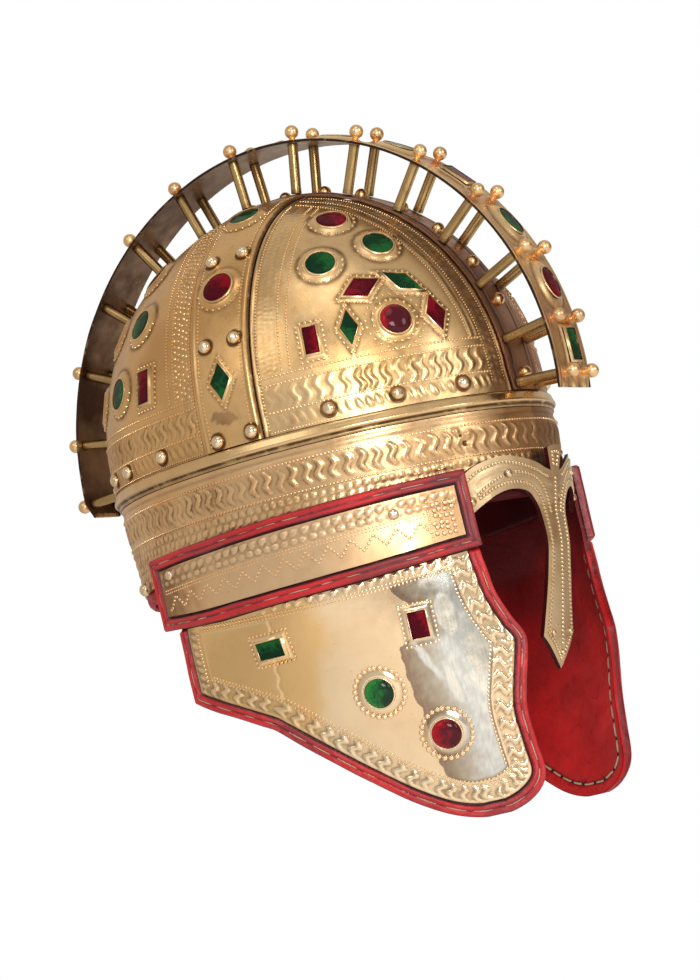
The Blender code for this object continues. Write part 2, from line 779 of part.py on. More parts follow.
def make_bowl():
    put("leather_lining", lining(), "dark leather")
    for name, front, table, own in (
            ("front_plate", True, FRONT_STONES, BROW_RUBY), ("rear_plate", False, REAR_STONES, None)):
        plate = put(name + "_right", bowl_plate(front), "brass")
        join_loose(plate, put("stones", fixed_stones(plate, table), "brass"))
        if own:
            kind, back, height, half_length, half_width, tilt = own
            place = bowl_frame(faces_of(plate), back, height, tilt)
            seat, gem = seat_and_gem(place, kind, half_length, half_width)
            join_loose(plate, put("seat", seat, "brass"))
            on_both_sides("brow_ruby", gem, "ruby")
        mirrored(plate, name + "_left")
    band = put("side_band_right", side_band(), "brass")
    join_loose(band, put("stones", fixed_stones(band, BAND_STONES), "brass"))
    mirrored(band, "side_band_left")
    put("ridge_strip", ridge_strip(), "dark brass")
    put("rim_bead", rim_bead(), "brass")
    put("brow_band", brow_band(), "brass")
    put("nasal_guard", nasal_guard(), "brass")


def make_crest():
    hoop = put("crest_hoop", hoop_band(), "dark brass")
    join_loose(hoop, put("balls", ball_heads(), "brass"))
    join_loose(hoop, put("stones", hoop_stones(), "brass"))
    reach = HOOP_IN - GAP
    for number, angle in enumerate(stations(), start=1):
        foot = post_foot(angle)
        for side, word in ((-1, "right"), (1, "left")):
            bm = bmesh.new()
            place = hoop_frame(angle, side * POST_SIDE, 0)
            turned(bm, place, ((POST_RADIUS, foot), (POST_RADIUS, reach)))
            put(f"crest_post_{number:02d}_{word}", bm, "brass")


def post_foot(angle):
    """How far from the centre a post starts, so that it stands just clear of the ridge strip."""
    top = BOWL_HEIGHT + RIDGE_OUT
    shift = WALL_SHIFT if angle < 0 else 0
    return top / math.cos(math.radians(max(-angle, angle - 180, 0))) + GAP + shift / 2


def make_sides():
    leather = put("cheek_leather_right", cheek_leather(), "red leather")
    mirrored(leather, "cheek_leather_left")
    plate = put("cheek_plate_right", cheek_plate(), "brass")
    bare = faces_of(plate)
    for name, kind, back, height, half_length, half_width in CHEEK_STONES:
        place = flap_frame(bare, back, height)
        seat, gem = seat_and_gem(place, kind, half_length, half_width)
        join_loose(plate, put("seat", seat, "brass"))
        on_both_sides(name, gem, "ruby" if "ruby" in name else "emerald")
    mirrored(plate, "cheek_plate_left")
    on_both_sides("side_strip_leather", strip_leather(), "red leather")
    on_both_sides("side_strip_plate", strip_plate(), "brass")


def main():
    clear_scene()
    centre = bpy.data.objects.new("bowl_centre", None)
    centre.location = (0, 0, -HEAD_SEAT)
    bpy.context.scene.collection.objects.link(centre)
    make_bowl()
    make_crest()
    make_sides()


main()
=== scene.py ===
"""Dresses the ridge helmet's frame: chased brass plates, set stones, red leather and a crest hoop on posts.

Metres. The shapes are worked out from the bowl's centre, with the wearer looking along -Y and the wearer's
right side at -X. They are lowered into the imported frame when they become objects.
"""

import math

import bpy
import numpy as np
from mathutils import Matrix, Vector, geometry

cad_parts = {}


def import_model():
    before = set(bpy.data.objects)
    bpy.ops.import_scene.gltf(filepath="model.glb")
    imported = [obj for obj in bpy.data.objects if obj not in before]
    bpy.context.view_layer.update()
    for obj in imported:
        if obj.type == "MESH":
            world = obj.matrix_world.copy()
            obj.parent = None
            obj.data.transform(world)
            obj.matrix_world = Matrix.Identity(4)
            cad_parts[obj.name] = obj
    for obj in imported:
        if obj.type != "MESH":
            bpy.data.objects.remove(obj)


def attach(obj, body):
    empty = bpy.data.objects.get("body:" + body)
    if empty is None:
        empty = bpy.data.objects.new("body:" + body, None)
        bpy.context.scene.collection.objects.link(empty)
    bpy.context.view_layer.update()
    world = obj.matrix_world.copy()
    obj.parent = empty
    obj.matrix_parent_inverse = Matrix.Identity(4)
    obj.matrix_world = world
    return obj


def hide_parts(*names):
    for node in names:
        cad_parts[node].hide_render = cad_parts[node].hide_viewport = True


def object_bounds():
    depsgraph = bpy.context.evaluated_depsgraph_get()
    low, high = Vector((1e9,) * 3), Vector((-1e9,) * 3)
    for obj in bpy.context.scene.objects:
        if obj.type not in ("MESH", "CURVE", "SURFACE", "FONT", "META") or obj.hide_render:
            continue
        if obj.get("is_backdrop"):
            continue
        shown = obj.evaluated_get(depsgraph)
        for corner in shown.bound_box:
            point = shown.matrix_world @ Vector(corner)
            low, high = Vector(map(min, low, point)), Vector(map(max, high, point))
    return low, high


MM = 0.001


def mm(*values):
    """Metres from millimetres, singly or in nested tuples."""
    return tuple(mm(*value) if isinstance(value, tuple) else value * MM for value in values)


GAP = 0.3 * MM
PLATE = 1.2 * MM
LEATHER = 2 * MM

# Bowl and wall.
HALF_WIDTH, HALF_LENGTH, BOWL_HEIGHT = 0.107, 0.124, 0.124
BOWL = np.array((HALF_WIDTH, HALF_LENGTH, BOWL_HEIGHT))
PLATE_FOOT = -0.0123
WALL_BREAK, WALL_TAPER, WALL_SHIFT = 0.030, 0.07, 0.002
LINING_IN, LINING_OUT = -PLATE - GAP - LEATHER, -PLATE - GAP
HEAD_SEAT = BOWL_HEIGHT + LINING_IN
BAND_OUT, RIDGE_OUT = 0.0018, 0.0022
BAND_FRONT, BAND_BACK = -0.027, 0.007
RIDGE_HALF = 0.0135
SIDE_RADIUS = 0.115
DOT, DOT_PITCH = 0.00082, 0.0021
# How far a plate reaches under its neighbours.
TUCK = 0.0015
BEAD_FOOT = -0.021
BROW_TOP, BROW_FOOT, BROW_FOOT_SLOPE = BEAD_FOOT - GAP, -0.066, 0.004

# Crest hoop and posts.
HOOP_IN, HOOP_OUT, HOOP_HALF = 0.1535, 0.1548, 0.0168
HOOP_START, HOOP_END = -6.8, 184.8
HOOP_CHAMFER = 0.005
STATIONS = [-3.9] + [6.8 + 14.79 * i for i in range(12)] + [181.9]
POST_SIDE, POST_RADIUS = 0.0105, 0.00285
BALL_CENTRE, BALL_RADIUS, NECK_RADIUS = 0.160, 0.0038, 0.0016
MISSING_BALL = (10, -1)

# Flap: the outer face of the cheek leather and of what lies on it.
FLAP_HALF_WIDTH, FLAP_HALF_LENGTH, FLAP_SHIFT = 0.1075, 0.1275, -0.003
FLAP_TOP, FLAP_DROP, FLAP_LEAN, FLAP_SPREAD = -0.097, 0.128, 0.040, 0.013
FLAP_BEND, FLAP_ARC = 1.2, 0.115
CHEEK_RIM, CHEEK_RIM_OUT, CHEEK_PLATE_OUT = 0.0065, 0.0026, 0.0018
CHEEK_OUTLINE = (
    (0.050, -0.0650), (0.0545, -0.0980), (0.0605, -0.1340), (0.0210, -0.1540), (0.0069, -0.1637),
    (-0.0309, -0.1973), (-0.0461, -0.2098), (-0.0618, -0.2198), (-0.0764, -0.2248), (-0.0909, -0.2253),
    (-0.1043, -0.2197), (-0.1110, -0.2100), (-0.1114, -0.1930), (-0.1116, -0.1770), (-0.1144, -0.1625),
    (-0.1178, -0.1446), (-0.1175, -0.1375), (-0.1145, -0.1283), (-0.1116, -0.1148), (-0.1100, -0.0980),
    (-0.1085, -0.0670),
)
CHEEK_CORNERS = (0, 2, 20)
STRIP_OUTLINE = (
    (-0.1095, -0.0505), (0.0650, -0.0560), (0.0640, -0.0940), (0.0200, -0.0970), (-0.0600, -0.0955),
    (-0.1100, -0.0905),
)
STRIP_CORNERS = (0, 1, 2, 5)
STRIP_FLOOR, STRIP_RIM, STRIP_RIM_OUT = 0.0023, 0.0065, 0.0049
STRIP_PLATE_OUT = 0.0041

# Nasal guard.
NASAL_OUT, NASAL_THICK = 0.0028, 0.0022
NASAL_PEAK, PEAK_WIDTH, SLANT, SLANT_TOP = 0.0055, 0.030, 0.245, -0.055
FLAT, BLEND = 0.018, 0.045
NASAL_OUTLINE = (
    (0.0, -0.0440), (0.0075, -0.0450), (0.0045, -0.0570), (0.0090, -0.0555), (0.0160, -0.0520),
    (0.0250, -0.0488), (0.0365, -0.0465), (0.0500, -0.0494), (0.0590, -0.0555), (0.0575, -0.0758),
    (0.0496, -0.0702), (0.0403, -0.0655), (0.0310, -0.0640), (0.0215, -0.0663), (0.0155, -0.0726),
    (0.0128, -0.0800), (0.0117, -0.0970), (0.0130, -0.1180), (0.0160, -0.1405), (0.0, -0.1580),
)
NASAL_CORNERS = (1, 2, 3, 8, 9, 18, 19)

# Stones on the wearer's right: gem, shape, how far back, how high, half length, half width, tilt in degrees.
PLATE_STONES = {
    "front": (
        ("ruby", "round", -0.0582, 0.0964, 0.0082, 0.0082, 0),
        ("emerald", "round", -0.0610, 0.0713, 0.0080, 0.0080, 0),
        ("emerald", "round", -0.0823, 0.0769, 0.0083, 0.0083, 0),
        ("ruby", "lozenge", -0.0800, 0.0532, 0.0110, 0.0066, 107),
        ("emerald", "lozenge", -0.0953, 0.0528, 0.0120, 0.0056, 52),
        ("ruby", "lozenge", -0.1072, 0.0330, 0.0109, 0.0058, 1),
        ("emerald", "lozenge", -0.0754, 0.0331, 0.0102, 0.0047, -3),
        ("ruby", "bar", -0.0581, 0.0310, 0.0076, 0.0037, 0),
        ("ruby", "dome", -0.0939, 0.0329, 0.0083, 0.0083, 0),
    ),
    "band": (
        ("emerald", "round", -0.0085, 0.1110, 0.0085, 0.0085, 0),
        ("ruby", "round", -0.0085, 0.0716, 0.0088, 0.0088, 0),
        ("emerald", "lozenge", -0.0095, 0.0219, 0.0102, 0.0060, 0),
    ),
    "rear": (
        ("ruby", "round", 0.0510, 0.0960, 0.0082, 0.0082, 0),
        ("emerald", "round", 0.0500, 0.0686, 0.0085, 0.0085, 0),
        ("emerald", "round", 0.0810, 0.0700, 0.0082, 0.0082, 0),
        ("emerald", "round", 0.0700, 0.0362, 0.0085, 0.0085, 0),
        ("ruby", "round", 0.0990, 0.0361, 0.0082, 0.0082, 0),
        ("ruby", "bar", 0.0447, 0.0333, 0.0090, 0.0046, 0),
    ),
}
CHEEK_STONES = (
    ("emerald", "bar", -0.0035, -0.1178, 0.0047, 0.0078, 0),
    ("ruby", "bar", -0.0788, -0.1233, 0.0070, 0.0047, 0),
    ("emerald", "dome", -0.0507, -0.1522, 0.0078, 0.0078, 0),
    ("ruby", "dome", -0.0747, -0.1796, 0.0078, 0.0078, 0),
)
HOOP_OVAL, HOOP_BAR, HOOP_SHIFT = (0.0090, 0.0064), (0.0085, 0.0044), 0.0020

# Camera: where it stands, from the bowl's centre, and which ways are right and up in its picture.
CAMERA_AT = (-1.5987, -0.9774, -0.2435)
CAMERA_RIGHT = (0.527, -0.822, -0.215)
CAMERA_UP = (0.021, -0.241, 0.970)
CAMERA_LENS = 128.06
FLOOR_LEVEL = -0.72


def ease(value, low, high):
    """0 below low, 1 above high, and smooth between."""
    share = np.clip((value - low) / (high - low), 0, 1)
    return share * share * (3 - 2 * share)


def swell(distance, width):
    return np.exp(-(distance / width) ** 2)


def unit(vectors):
    vectors = np.asarray(vectors, float)
    return vectors / np.maximum(np.linalg.norm(vectors, axis=-1, keepdims=True), 1e-12)


def ripple(points, length, seed):
    """Smooth waves between about -1 and 1 that look random, with roughly this wavelength."""
    pick = np.random.default_rng(seed)
    total = 0
    for _ in range(7):
        way = unit(pick.normal(size=3))
        phase = pick.uniform(0, math.tau)
        total = total + np.sin(points @ way * (math.tau / length * pick.uniform(0.7, 1.5)) + phase)
    return total / 3.5


def grid_faces(rows, columns, closed=False):
    """Quads between rows of points; closed joins the last column to the first."""
    row, column = np.meshgrid(np.arange(rows - 1), np.arange(columns - (not closed)), indexing="ij")
    after = (column + 1) % columns
    corners = (row * columns + column, row * columns + after, (row + 1) * columns + after,
               (row + 1) * columns + column)
    return np.stack([c.ravel() for c in corners], axis=1)


def turned_out(points, faces, centre):
    """The faces, all turned over if they look towards the centre on the whole."""
    a, b, c = (points[faces[:, i]] for i in range(3))
    looks = np.cross(b - a, c - a)
    total = np.einsum("ij,ij->", looks, (a + b + c) / 3 - np.asarray(centre))
    return faces if total > 0 else faces[:, ::-1]


def hollows(points, faces, relief, rounds=3, depth=0.20 * MM):
    """How far each point lies in a hollow of the relief, up to 1, or below 0 how far it stands out."""
    first = faces.ravel()
    second = np.roll(faces, -1, axis=1).ravel()
    count = np.bincount(first, minlength=len(points)) + np.bincount(second, minlength=len(points))
    mean = relief.astype(float)
    for _ in range(rounds):
        total = np.bincount(first, mean[second], len(points)) + np.bincount(second, mean[first], len(points))
        mean = total / np.maximum(count, 1)
    return np.clip((mean - relief) / depth, -1, 1)


class Shape:
    """Points, faces and two marks for the colour, dirt that also paints shade and highlights, and stain that
    also paints light and shade, gathered before they become one object.
    """

    def __init__(self):
        self.points, self.faces, self.slots, self.dirt, self.stain_and_shading = [], [], [], [], []
        self.count = 0

    def add(self, points, faces, slot=0, dirt=0.0, stain_and_shading=0.0):
        self.points.append(np.asarray(points, float))
        self.faces += (np.asarray(faces) + self.count).tolist()
        self.slots += [slot] * len(faces)
        self.dirt.append(np.broadcast_to(dirt, len(points)))
        self.stain_and_shading.append(np.broadcast_to(stain_and_shading, len(points)))
        self.count += len(points)

    def extend(self, other):
        self.points += other.points
        self.faces += [[corner + self.count for corner in face] for face in other.faces]
        self.slots += other.slots
        self.dirt += other.dirt
        self.stain_and_shading += other.stain_and_shading
        self.count += other.count

    def make(self, name, materials, finish, nodes=(), mirror=False, sharp=None):
        """One object on the body, standing for these nodes."""
        points = np.concatenate(self.points) * ((-1, 1, 1) if mirror else (1, 1, 1))
        faces = [face[::-1] for face in self.faces] if mirror else self.faces
        mesh = bpy.data.meshes.new(name)
        mesh.from_pydata((points - (0, 0, HEAD_SEAT)).tolist(), [], faces)
        for material in materials:
            mesh.materials.append(material)
        mesh.polygons.foreach_set("material_index", self.slots)
        for field in ("dirt", "stain_and_shading"):
            values = np.concatenate(getattr(self, field)).astype(np.float32)
            mesh.attributes.new(field, "FLOAT", "POINT").data.foreach_set("value", values)
        mesh.shade_smooth()
        if sharp:
            mesh.set_sharp_from_angle(angle=math.radians(sharp))
        mesh.update()
        obj = bpy.data.objects.new(name, mesh)
        bpy.context.scene.collection.objects.link(obj)
        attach(obj, "root")
        if nodes:
            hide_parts(*nodes)
        return obj

    def make_pair(self, name, materials, finish, nodes=(), sharp=None, left=None):
        """The wearer's right piece and its mirror image, which may be of other materials."""
        for side in ("right", "left"):
            stands_for = [f"{node}_{side}" for node in nodes]
            used = left or materials if side == "left" else materials
            self.make(f"{name}_{side}", used, finish, stands_for, side == "left", sharp)


def revolve(points, normals, profile, sides):
    """A turned body at each point: the profile lists (radius, height), and a radius of 0 closes an end."""
    points, normals = np.atleast_2d(points), unit(np.atleast_2d(normals))
    ups = np.where(np.abs(normals[:, 2:]) > 0.9, (1.0, 0, 0), (0, 0, 1.0))
    first = unit(np.cross(normals, ups))
    second = np.cross(normals, first)
    corners, rows, total = [], [], 0
    for radius, height in profile:
        turns = np.arange(sides if radius else 1) * math.tau / sides
        rows.append(total + np.arange(len(turns)))
        total += len(turns)
        corners += [(radius * math.cos(t), radius * math.sin(t), height) for t in turns]
    corners = np.array(corners)
    faces = []
    for low, high in zip(rows, rows[1:]):
        for i in range(sides):
            after = (i + 1) % sides
            quad = [low[i % len(low)], low[after % len(low)], high[after % len(high)], high[i % len(high)]]
            faces.append(quad if len(set(quad)) == 4 else list(dict.fromkeys(quad)) + [-1])
    faces = np.array(faces)
    spread = (corners[None, :, 0:1] * first[:, None] + corners[None, :, 1:2] * second[:, None]
              + corners[None, :, 2:3] * normals[:, None] + points[:, None])
    triangles = faces[faces[:, 3] < 0][:, :3]
    quads = faces[faces[:, 3] >= 0]
    steps = (np.arange(len(points)) * total)[:, None, None]
    return (spread.reshape(-1, 3), (quads[None] + steps).reshape(-1, 4),
            (triangles[None] + steps).reshape(-1, 3), np.tile(corners[:, 2], len(points)))


def add_turned(shape, points, normals, profile, sides, slot=0, dirt=None, stain_and_shading=0.0):
    """Adds turned bodies, darker at their feet and paler on top unless the marks are given; the paler top is
    partly a painted highlight.
    """
    spread, quads, triangles, heights = revolve(points, normals, profile, sides)
    if dirt is None:
        top = max(height for _, height in profile)
        dirt = 0.7 * ease(-heights, -0.3 * top, 0.1 * top) - ease(heights, 0.3 * top, top)
    for faces in (quads, triangles):
        if len(faces):
            shape.add(spread, faces, slot, dirt, stain_and_shading)


def add_beads(shape, points, normals, radius, height=None):
    """Small round dots punched up from behind."""
    height = height or radius * 0.8
    profile = ((radius * 1.05, -0.2 * height), (radius * 0.72, 0.66 * height), (0, height))
    add_turned(shape, points, normals, profile, 6)


def spaced(points, pitch, start=0.5):
    """Places along a path of points, at equal steps, as fractional indices."""
    steps = np.linalg.norm(np.diff(points, axis=0), axis=1)
    run = np.concatenate(([0], np.cumsum(steps)))
    marks = np.arange(start * pitch, run[-1], pitch)
    return np.interp(marks, run, np.arange(len(points)))


def at_places(values, places):
    low = np.floor(places).astype(int)
    high = np.minimum(low + 1, len(values) - 1)
    share = (places - low)[:, None]
    return values[low] * (1 - share) + values[high] * share


def runs(mask):
    """Pairs of start and end of each stretch where the mask is true."""
    edges = np.flatnonzero(np.diff(np.concatenate(([False], mask, [False])).astype(int)))
    return zip(edges[::2], edges[1::2])


def add_bead_path(shape, points, normals, mask, pitch, radius, height=None):
    """A line of dots along the parts of a path where the mask is true."""
    for start, end in runs(np.broadcast_to(mask, len(points))):
        if end - start >= 3:
            places = spaced(points[start:end], pitch)
            add_beads(shape, at_places(points[start:end], places), at_places(normals[start:end], places),
                      radius, height)


def add_stitch(shape, path, radius, slot):
    """One stitch along a path: a six-sided bar, tapered to closed ends."""
    sides, count = 6, len(path)
    along = unit(np.gradient(path, axis=0))
    across = unit(np.cross(along, (0, 0, 1)))
    over = np.cross(along, across)
    size = np.full(count, radius)
    size[[0, -1]] = radius * 0.35
    turns = np.arange(sides) * math.tau / sides
    ring = across[:, None] * np.cos(turns)[None, :, None] + over[:, None] * np.sin(turns)[None, :, None]
    points = (path[:, None] + ring * size[:, None, None]).reshape(-1, 3)
    shape.add(points, grid_faces(count, sides, True), slot, 0.2)
    edge = np.arange(sides)
    for start, tip in ((0, path[0]), ((count - 1) * sides, path[-1])):
        fan = np.concatenate((points[start:start + sides], [tip]))
        shape.add(fan, np.stack((edge, np.roll(edge, -1), np.full(sides, sides)), axis=1), slot, 0.2)


def wall(turn, height, offset):
    """Points of the helmet's wall: turn is 0 at the front and a quarter turn on the wearer's right."""
    turn, height, offset = np.broadcast_arrays(turn, height, offset)
    lift = np.clip(height / BOWL_HEIGHT, 0, 1)
    shrink = np.sqrt(1 - lift * lift)
    drop = WALL_TAPER * np.maximum(-height - WALL_BREAK, 0)
    centre = -WALL_SHIFT * np.clip(-height / WALL_BREAK, 0, 1)
    across = (HALF_WIDTH + offset) * shrink - drop
    along = (HALF_LENGTH + offset) * shrink - drop
    top = np.where(height > 0, (BOWL_HEIGHT + offset) * lift, height)
    return np.stack((-across * np.sin(turn), centre - along * np.cos(turn), top), axis=-1)


def wall_normals(points):
    """The outward directions of the wall at points on it."""
    lean = np.where(points[..., 2] < -WALL_BREAK, -WALL_TAPER * 0.009, 0)
    return unit(np.stack((points[..., 0] / HALF_WIDTH ** 2, points[..., 1] / HALF_LENGTH ** 2,
                          np.maximum(points[..., 2], 0) / BOWL_HEIGHT ** 2 + lean), axis=-1))


def raised(points, relief):
    """Points of the wall lifted by their relief, with the wall's outward directions."""
    normals = wall_normals(points)
    return points + normals * relief[:, None], normals


def snap(points, offset=0.0):
    """Points moved straight from the bowl's centre onto its face."""
    low = points[..., 2] < 0
    shares = points / BOWL
    reach = np.where(low, np.hypot(shares[..., 0], shares[..., 1]), np.linalg.norm(shares, axis=-1))
    scaled = points / reach[..., None]
    scaled[..., 2] = np.where(low, points[..., 2], scaled[..., 2])
    return scaled + wall_normals(scaled) * np.asarray(offset)[..., None]


TURN_TABLE = np.linspace(0, math.pi, 721)
_ring = wall(TURN_TABLE, -0.001, 0)
ARC_TABLE = np.concatenate(([0], np.cumsum(np.linalg.norm(np.diff(_ring, axis=0), axis=1))))


def ring_length(turn):
    """The distance round the wall from the front, for turns of either sign."""
    return np.interp(np.abs(turn), TURN_TABLE, ARC_TABLE) * np.sign(turn)


def foot_distance(height):
    """The distance up the plates from their foot."""
    return BOWL_HEIGHT * np.arcsin(np.clip(height / BOWL_HEIGHT, 0, 1)) + np.minimum(height, 0) - PLATE_FOOT


def foot_height(distance):
    rise = distance + PLATE_FOOT
    return np.where(rise > 0, BOWL_HEIGHT * np.sin(np.maximum(rise, 0) / BOWL_HEIGHT), rise)


def side_distance(reach, half, start):
    """The distance over a curve of this half size from one of its chords to another."""
    return half * (np.arcsin(np.clip(reach / half, -1, 1)) - math.asin(start / half))


def side_reach(distance, half, start):
    return half * math.sin(distance / half + math.asin(start / half))


def band_point(back, share, offset):
    """Points of a hoop over the bowl: the share runs from the plates' foot up to the ridge strip."""
    back, share, offset = np.broadcast_arrays(back, share, offset)
    shrink = np.sqrt(1 - (back / HALF_LENGTH) ** 2)
    across = (HALF_WIDTH + offset) * shrink
    top = (BOWL_HEIGHT + offset) * shrink
    foot = np.arcsin(PLATE_FOOT / top)
    rise = foot + (np.arccos((RIDGE_HALF + GAP) / across) - foot) * share
    return np.stack((-across * np.cos(np.maximum(rise, 0)), back, top * np.sin(rise)), axis=-1)


def ridge_point(across, share, offset):
    """Points of the strip over the bowl's middle, from the plates' foot at the front to the back."""
    across, share, offset = np.broadcast_arrays(across, share, offset)
    shrink = np.sqrt(1 - (across / HALF_WIDTH) ** 2)
    along = (HALF_LENGTH + offset) * shrink
    top = (BOWL_HEIGHT + offset) * shrink
    foot = np.arcsin(PLATE_FOOT / top)
    swing = foot + (math.pi - 2 * foot) * share
    height = top * np.sin(swing)
    low = height < 0
    centre = np.where(low, WALL_SHIFT * height / WALL_BREAK, 0)
    reach = np.where(low, np.copysign(along, np.cos(swing)), along * np.cos(swing))
    return np.stack((across, centre - reach, height), axis=-1)


def flap(arc, height, offset):
    """Points of the cheek surface on the wearer's right: the arc is a length along it from the front."""
    arc, height, offset = np.broadcast_arrays(arc, height, offset)
    drop = np.maximum(FLAP_TOP - height, 0) / FLAP_DROP
    across = FLAP_HALF_WIDTH - FLAP_LEAN * drop ** FLAP_BEND + offset
    along = FLAP_HALF_LENGTH + FLAP_SPREAD * drop + offset
    turn = arc / FLAP_ARC
    return np.stack((-across * np.sin(turn), FLAP_SHIFT - along * np.cos(turn), height + 0 * arc), axis=-1)


def flap_arc(back, height):
    drop = np.maximum(FLAP_TOP - height, 0) / FLAP_DROP
    along = FLAP_HALF_LENGTH + FLAP_SPREAD * drop
    return FLAP_ARC * np.arccos((FLAP_SHIFT - back) / along)


def brow_face(across, height, offset):
    """Points of the brow guard: it follows the brow band at the sides and slants back in the middle."""
    across, height, offset = np.broadcast_arrays(across, height, offset)
    band = wall(0.0, BROW_FOOT, 0.0)
    side = wall(math.pi / 2, BROW_FOOT, 0.0)
    ring = (side[1] - band[1]) * np.sqrt(1 - (across / side[0]) ** 2)
    peak = NASAL_PEAK * swell(across, PEAK_WIDTH)
    blend = np.clip((BLEND - np.abs(across)) / (BLEND - FLAT), 0, 1)
    slant = SLANT * blend * (SLANT_TOP - height)
    upright = WALL_TAPER * (1 - blend) * (height - BROW_FOOT)
    return np.stack((across, side[1] - ring - peak - upright + slant - offset, height), axis=-1)


def hoop_point(angle, across, radius):
    angle, across, radius = np.broadcast_arrays(np.radians(angle), across, radius)
    return np.stack((across, -radius * np.cos(angle), radius * np.sin(angle)), axis=-1)


def face_normals(surface, u, v, outward):
    """Outward directions of a surface of two measures, by small steps along each."""
    step = 0.1 * MM
    here = surface(u, v, 0.0)
    normals = unit(np.cross(surface(u + step, v, 0.0) - here, surface(u, v + step, 0.0) - here))
    flip = np.sign(np.einsum("...i,...i->...", normals, np.broadcast_to(outward, normals.shape)))
    return normals * np.where(flip < 0, -1, 1)[..., None]


def curved(table, corners, step):
    """A closed outline through the points, smooth except at the corners, as dense points."""
    table = np.asarray(table, float)
    count = len(table)
    dense = []
    for i in range(count):
        here, there = table[i], table[(i + 1) % count]
        before, after = table[i - 1], table[(i + 2) % count]
        leave = there - here if i in corners else (there - before) / 2
        arrive = there - here if (i + 1) % count in corners else (after - here) / 2
        t = np.linspace(0, 1, max(int(np.linalg.norm(there - here) / step), 1), endpoint=False)[:, None]
        dense.append((2 * t ** 3 - 3 * t ** 2 + 1) * here + (t ** 3 - 2 * t ** 2 + t) * leave
                     + (3 * t ** 2 - 2 * t ** 3) * there + (t ** 3 - t ** 2) * arrive)
    return np.concatenate(dense)


def on_flap(table):
    table = np.asarray(table, float)
    return np.stack((flap_arc(table[:, 0], table[:, 1]), table[:, 1]), axis=1)


def nearest(points, outline):
    """How far inside a closed outline each point lies, how far along it, and on which of its edges."""
    ends = np.roll(outline, -1, axis=0)
    ways = ends - outline
    lengths = np.linalg.norm(ways, axis=1)
    starts = np.concatenate(([0], np.cumsum(lengths)[:-1]))
    distance, along, piece = (np.empty(len(points)) for _ in range(3))
    inside = np.zeros(len(points), bool)
    for low in range(0, len(points), 4000):
        block = points[low:low + 4000, None]
        share = np.clip(((block - outline) * ways).sum(2) / lengths ** 2, 0, 1)
        away = np.linalg.norm(block - outline - share[..., None] * ways, axis=2)
        best = away.argmin(axis=1)
        rows = np.arange(len(best))
        distance[low:low + 4000] = away[rows, best]
        along[low:low + 4000] = starts[best] + share[rows, best] * lengths[best]
        piece[low:low + 4000] = best
        crosses = (outline[:, 1] > block[..., 1]) != (ends[:, 1] > block[..., 1])
        slope = np.where(ways[:, 1] == 0, 1, ways[:, 1])
        meets = outline[:, 0] + (block[..., 1] - outline[:, 1]) / slope * ways[:, 0]
        inside[low:low + 4000] = (crosses & (block[..., 0] < meets)).sum(axis=1) % 2 == 1
    return np.where(inside, distance, -distance), along, piece.astype(int)


def pulled_in(outline, distance):
    """The outline moved inwards, without the points that would fold over."""
    area = np.cross(outline, np.roll(outline, -1, axis=0)).sum()
    ways = unit(np.roll(outline, -1, axis=0) - outline)
    into = np.stack((-ways[:, 1], ways[:, 0]), axis=1) * math.copysign(1, area)
    both = unit(into + np.roll(into, 1, axis=0))
    stretch = np.maximum((both * into).sum(axis=1, keepdims=True), 0.5)
    moved = outline + both * distance / stretch
    true = nearest(moved, outline)[0]
    return moved[true > distance * 0.97 - 1e-6]


def filled(outline, grain, rough=None, border=0.0):
    """Points and triangles that fill a closed outline, fine up to the border and rougher beyond if asked."""
    low, high = outline.min(axis=0), outline.max(axis=0)

    def lattice(size):
        x = np.arange(low[0], high[0], size)
        y = np.arange(low[1], high[1], size * math.sqrt(0.75))
        grid = np.stack(np.meshgrid(x, y), axis=2)
        grid[1::2, :, 0] += size / 2
        return grid.reshape(-1, 2)

    fine = lattice(grain)
    inside = nearest(fine, outline)[0]
    inner = fine[(inside > grain * 0.6) & (inside < border if rough else True)]
    if rough:
        plain = lattice(rough)
        inner = np.concatenate((inner, plain[nearest(plain, outline)[0] > border + rough * 0.4]))
    points = np.concatenate((outline, inner))
    count = len(outline)
    edges = [(i, (i + 1) % count) for i in range(count)]
    made = geometry.delaunay_2d_cdt([Vector(p) for p in points.tolist()], edges, [], 1, 1e-9)
    return np.array([tuple(p) for p in made[0]]), np.array([f for f in made[2] if len(f) == 3])


def scatter(cell, seed):
    """A number between 0 and 1 that looks random, for each cell."""
    return np.abs(np.sin(cell * 12.9898 + seed * 78.233) * 43758.5453) % 1


def chased(distance, along, table):
    """Relief of the rows along an edge. Each row: kind and, in mm, how far in, size, pitch and height."""
    total = np.zeros_like(distance)
    for kind, *sizes in table:
        centre, tall, pitch, height = mm(*sizes)
        off = distance - centre
        if kind == "line":
            total += height * swell(off, tall)
            continue
        cell = np.floor(along / pitch)
        pick, other = scatter(cell, centre * 1000), scatter(cell, centre * 1000 + 0.7)
        near = (along / pitch - cell - 0.5 + 0.20 * (pick - 0.5)) * pitch
        part = (off + 0.14 * tall * (other - 0.5)) / (tall / 2)
        high = height * (0.6 + 0.65 * other)
        if kind == "boss":
            round_off = 1 - (near / (0.42 * pitch)) ** 2 - part ** 2
        if kind == "comma":
            width = 0.38 * pitch * (1 - 0.35 * np.clip(part, -1, 1))
            round_off = 1 - ((near - 0.30 * tall * part / 2) / width) ** 2 - part ** 2
        if kind == "stroke":
            sway = 0.17 * pitch * np.sin(1.3 * math.pi * part)
            width = 0.25 * pitch * (1 - 0.3 * part ** 2)
            round_off = np.minimum(1 - ((near - sway) / width) ** 2, 3 * (1.08 - np.abs(part)))
        total += high * np.clip(round_off, 0, 1) ** 0.8
    return total


def outside(kind, u, v, half_length, half_width):
    """How far outside a stone's outline a place in its own frame lies."""
    if kind == "bar":
        return np.maximum(np.abs(u) - half_length, np.abs(v) - half_width)
    if kind == "lozenge":
        shares = np.abs(u) / half_length + np.abs(v) / half_width - 1
        return shares * half_length * half_width / math.hypot(half_length, half_width)
    return (np.hypot(u / half_length, v / half_width) - 1) * min(half_length, half_width)


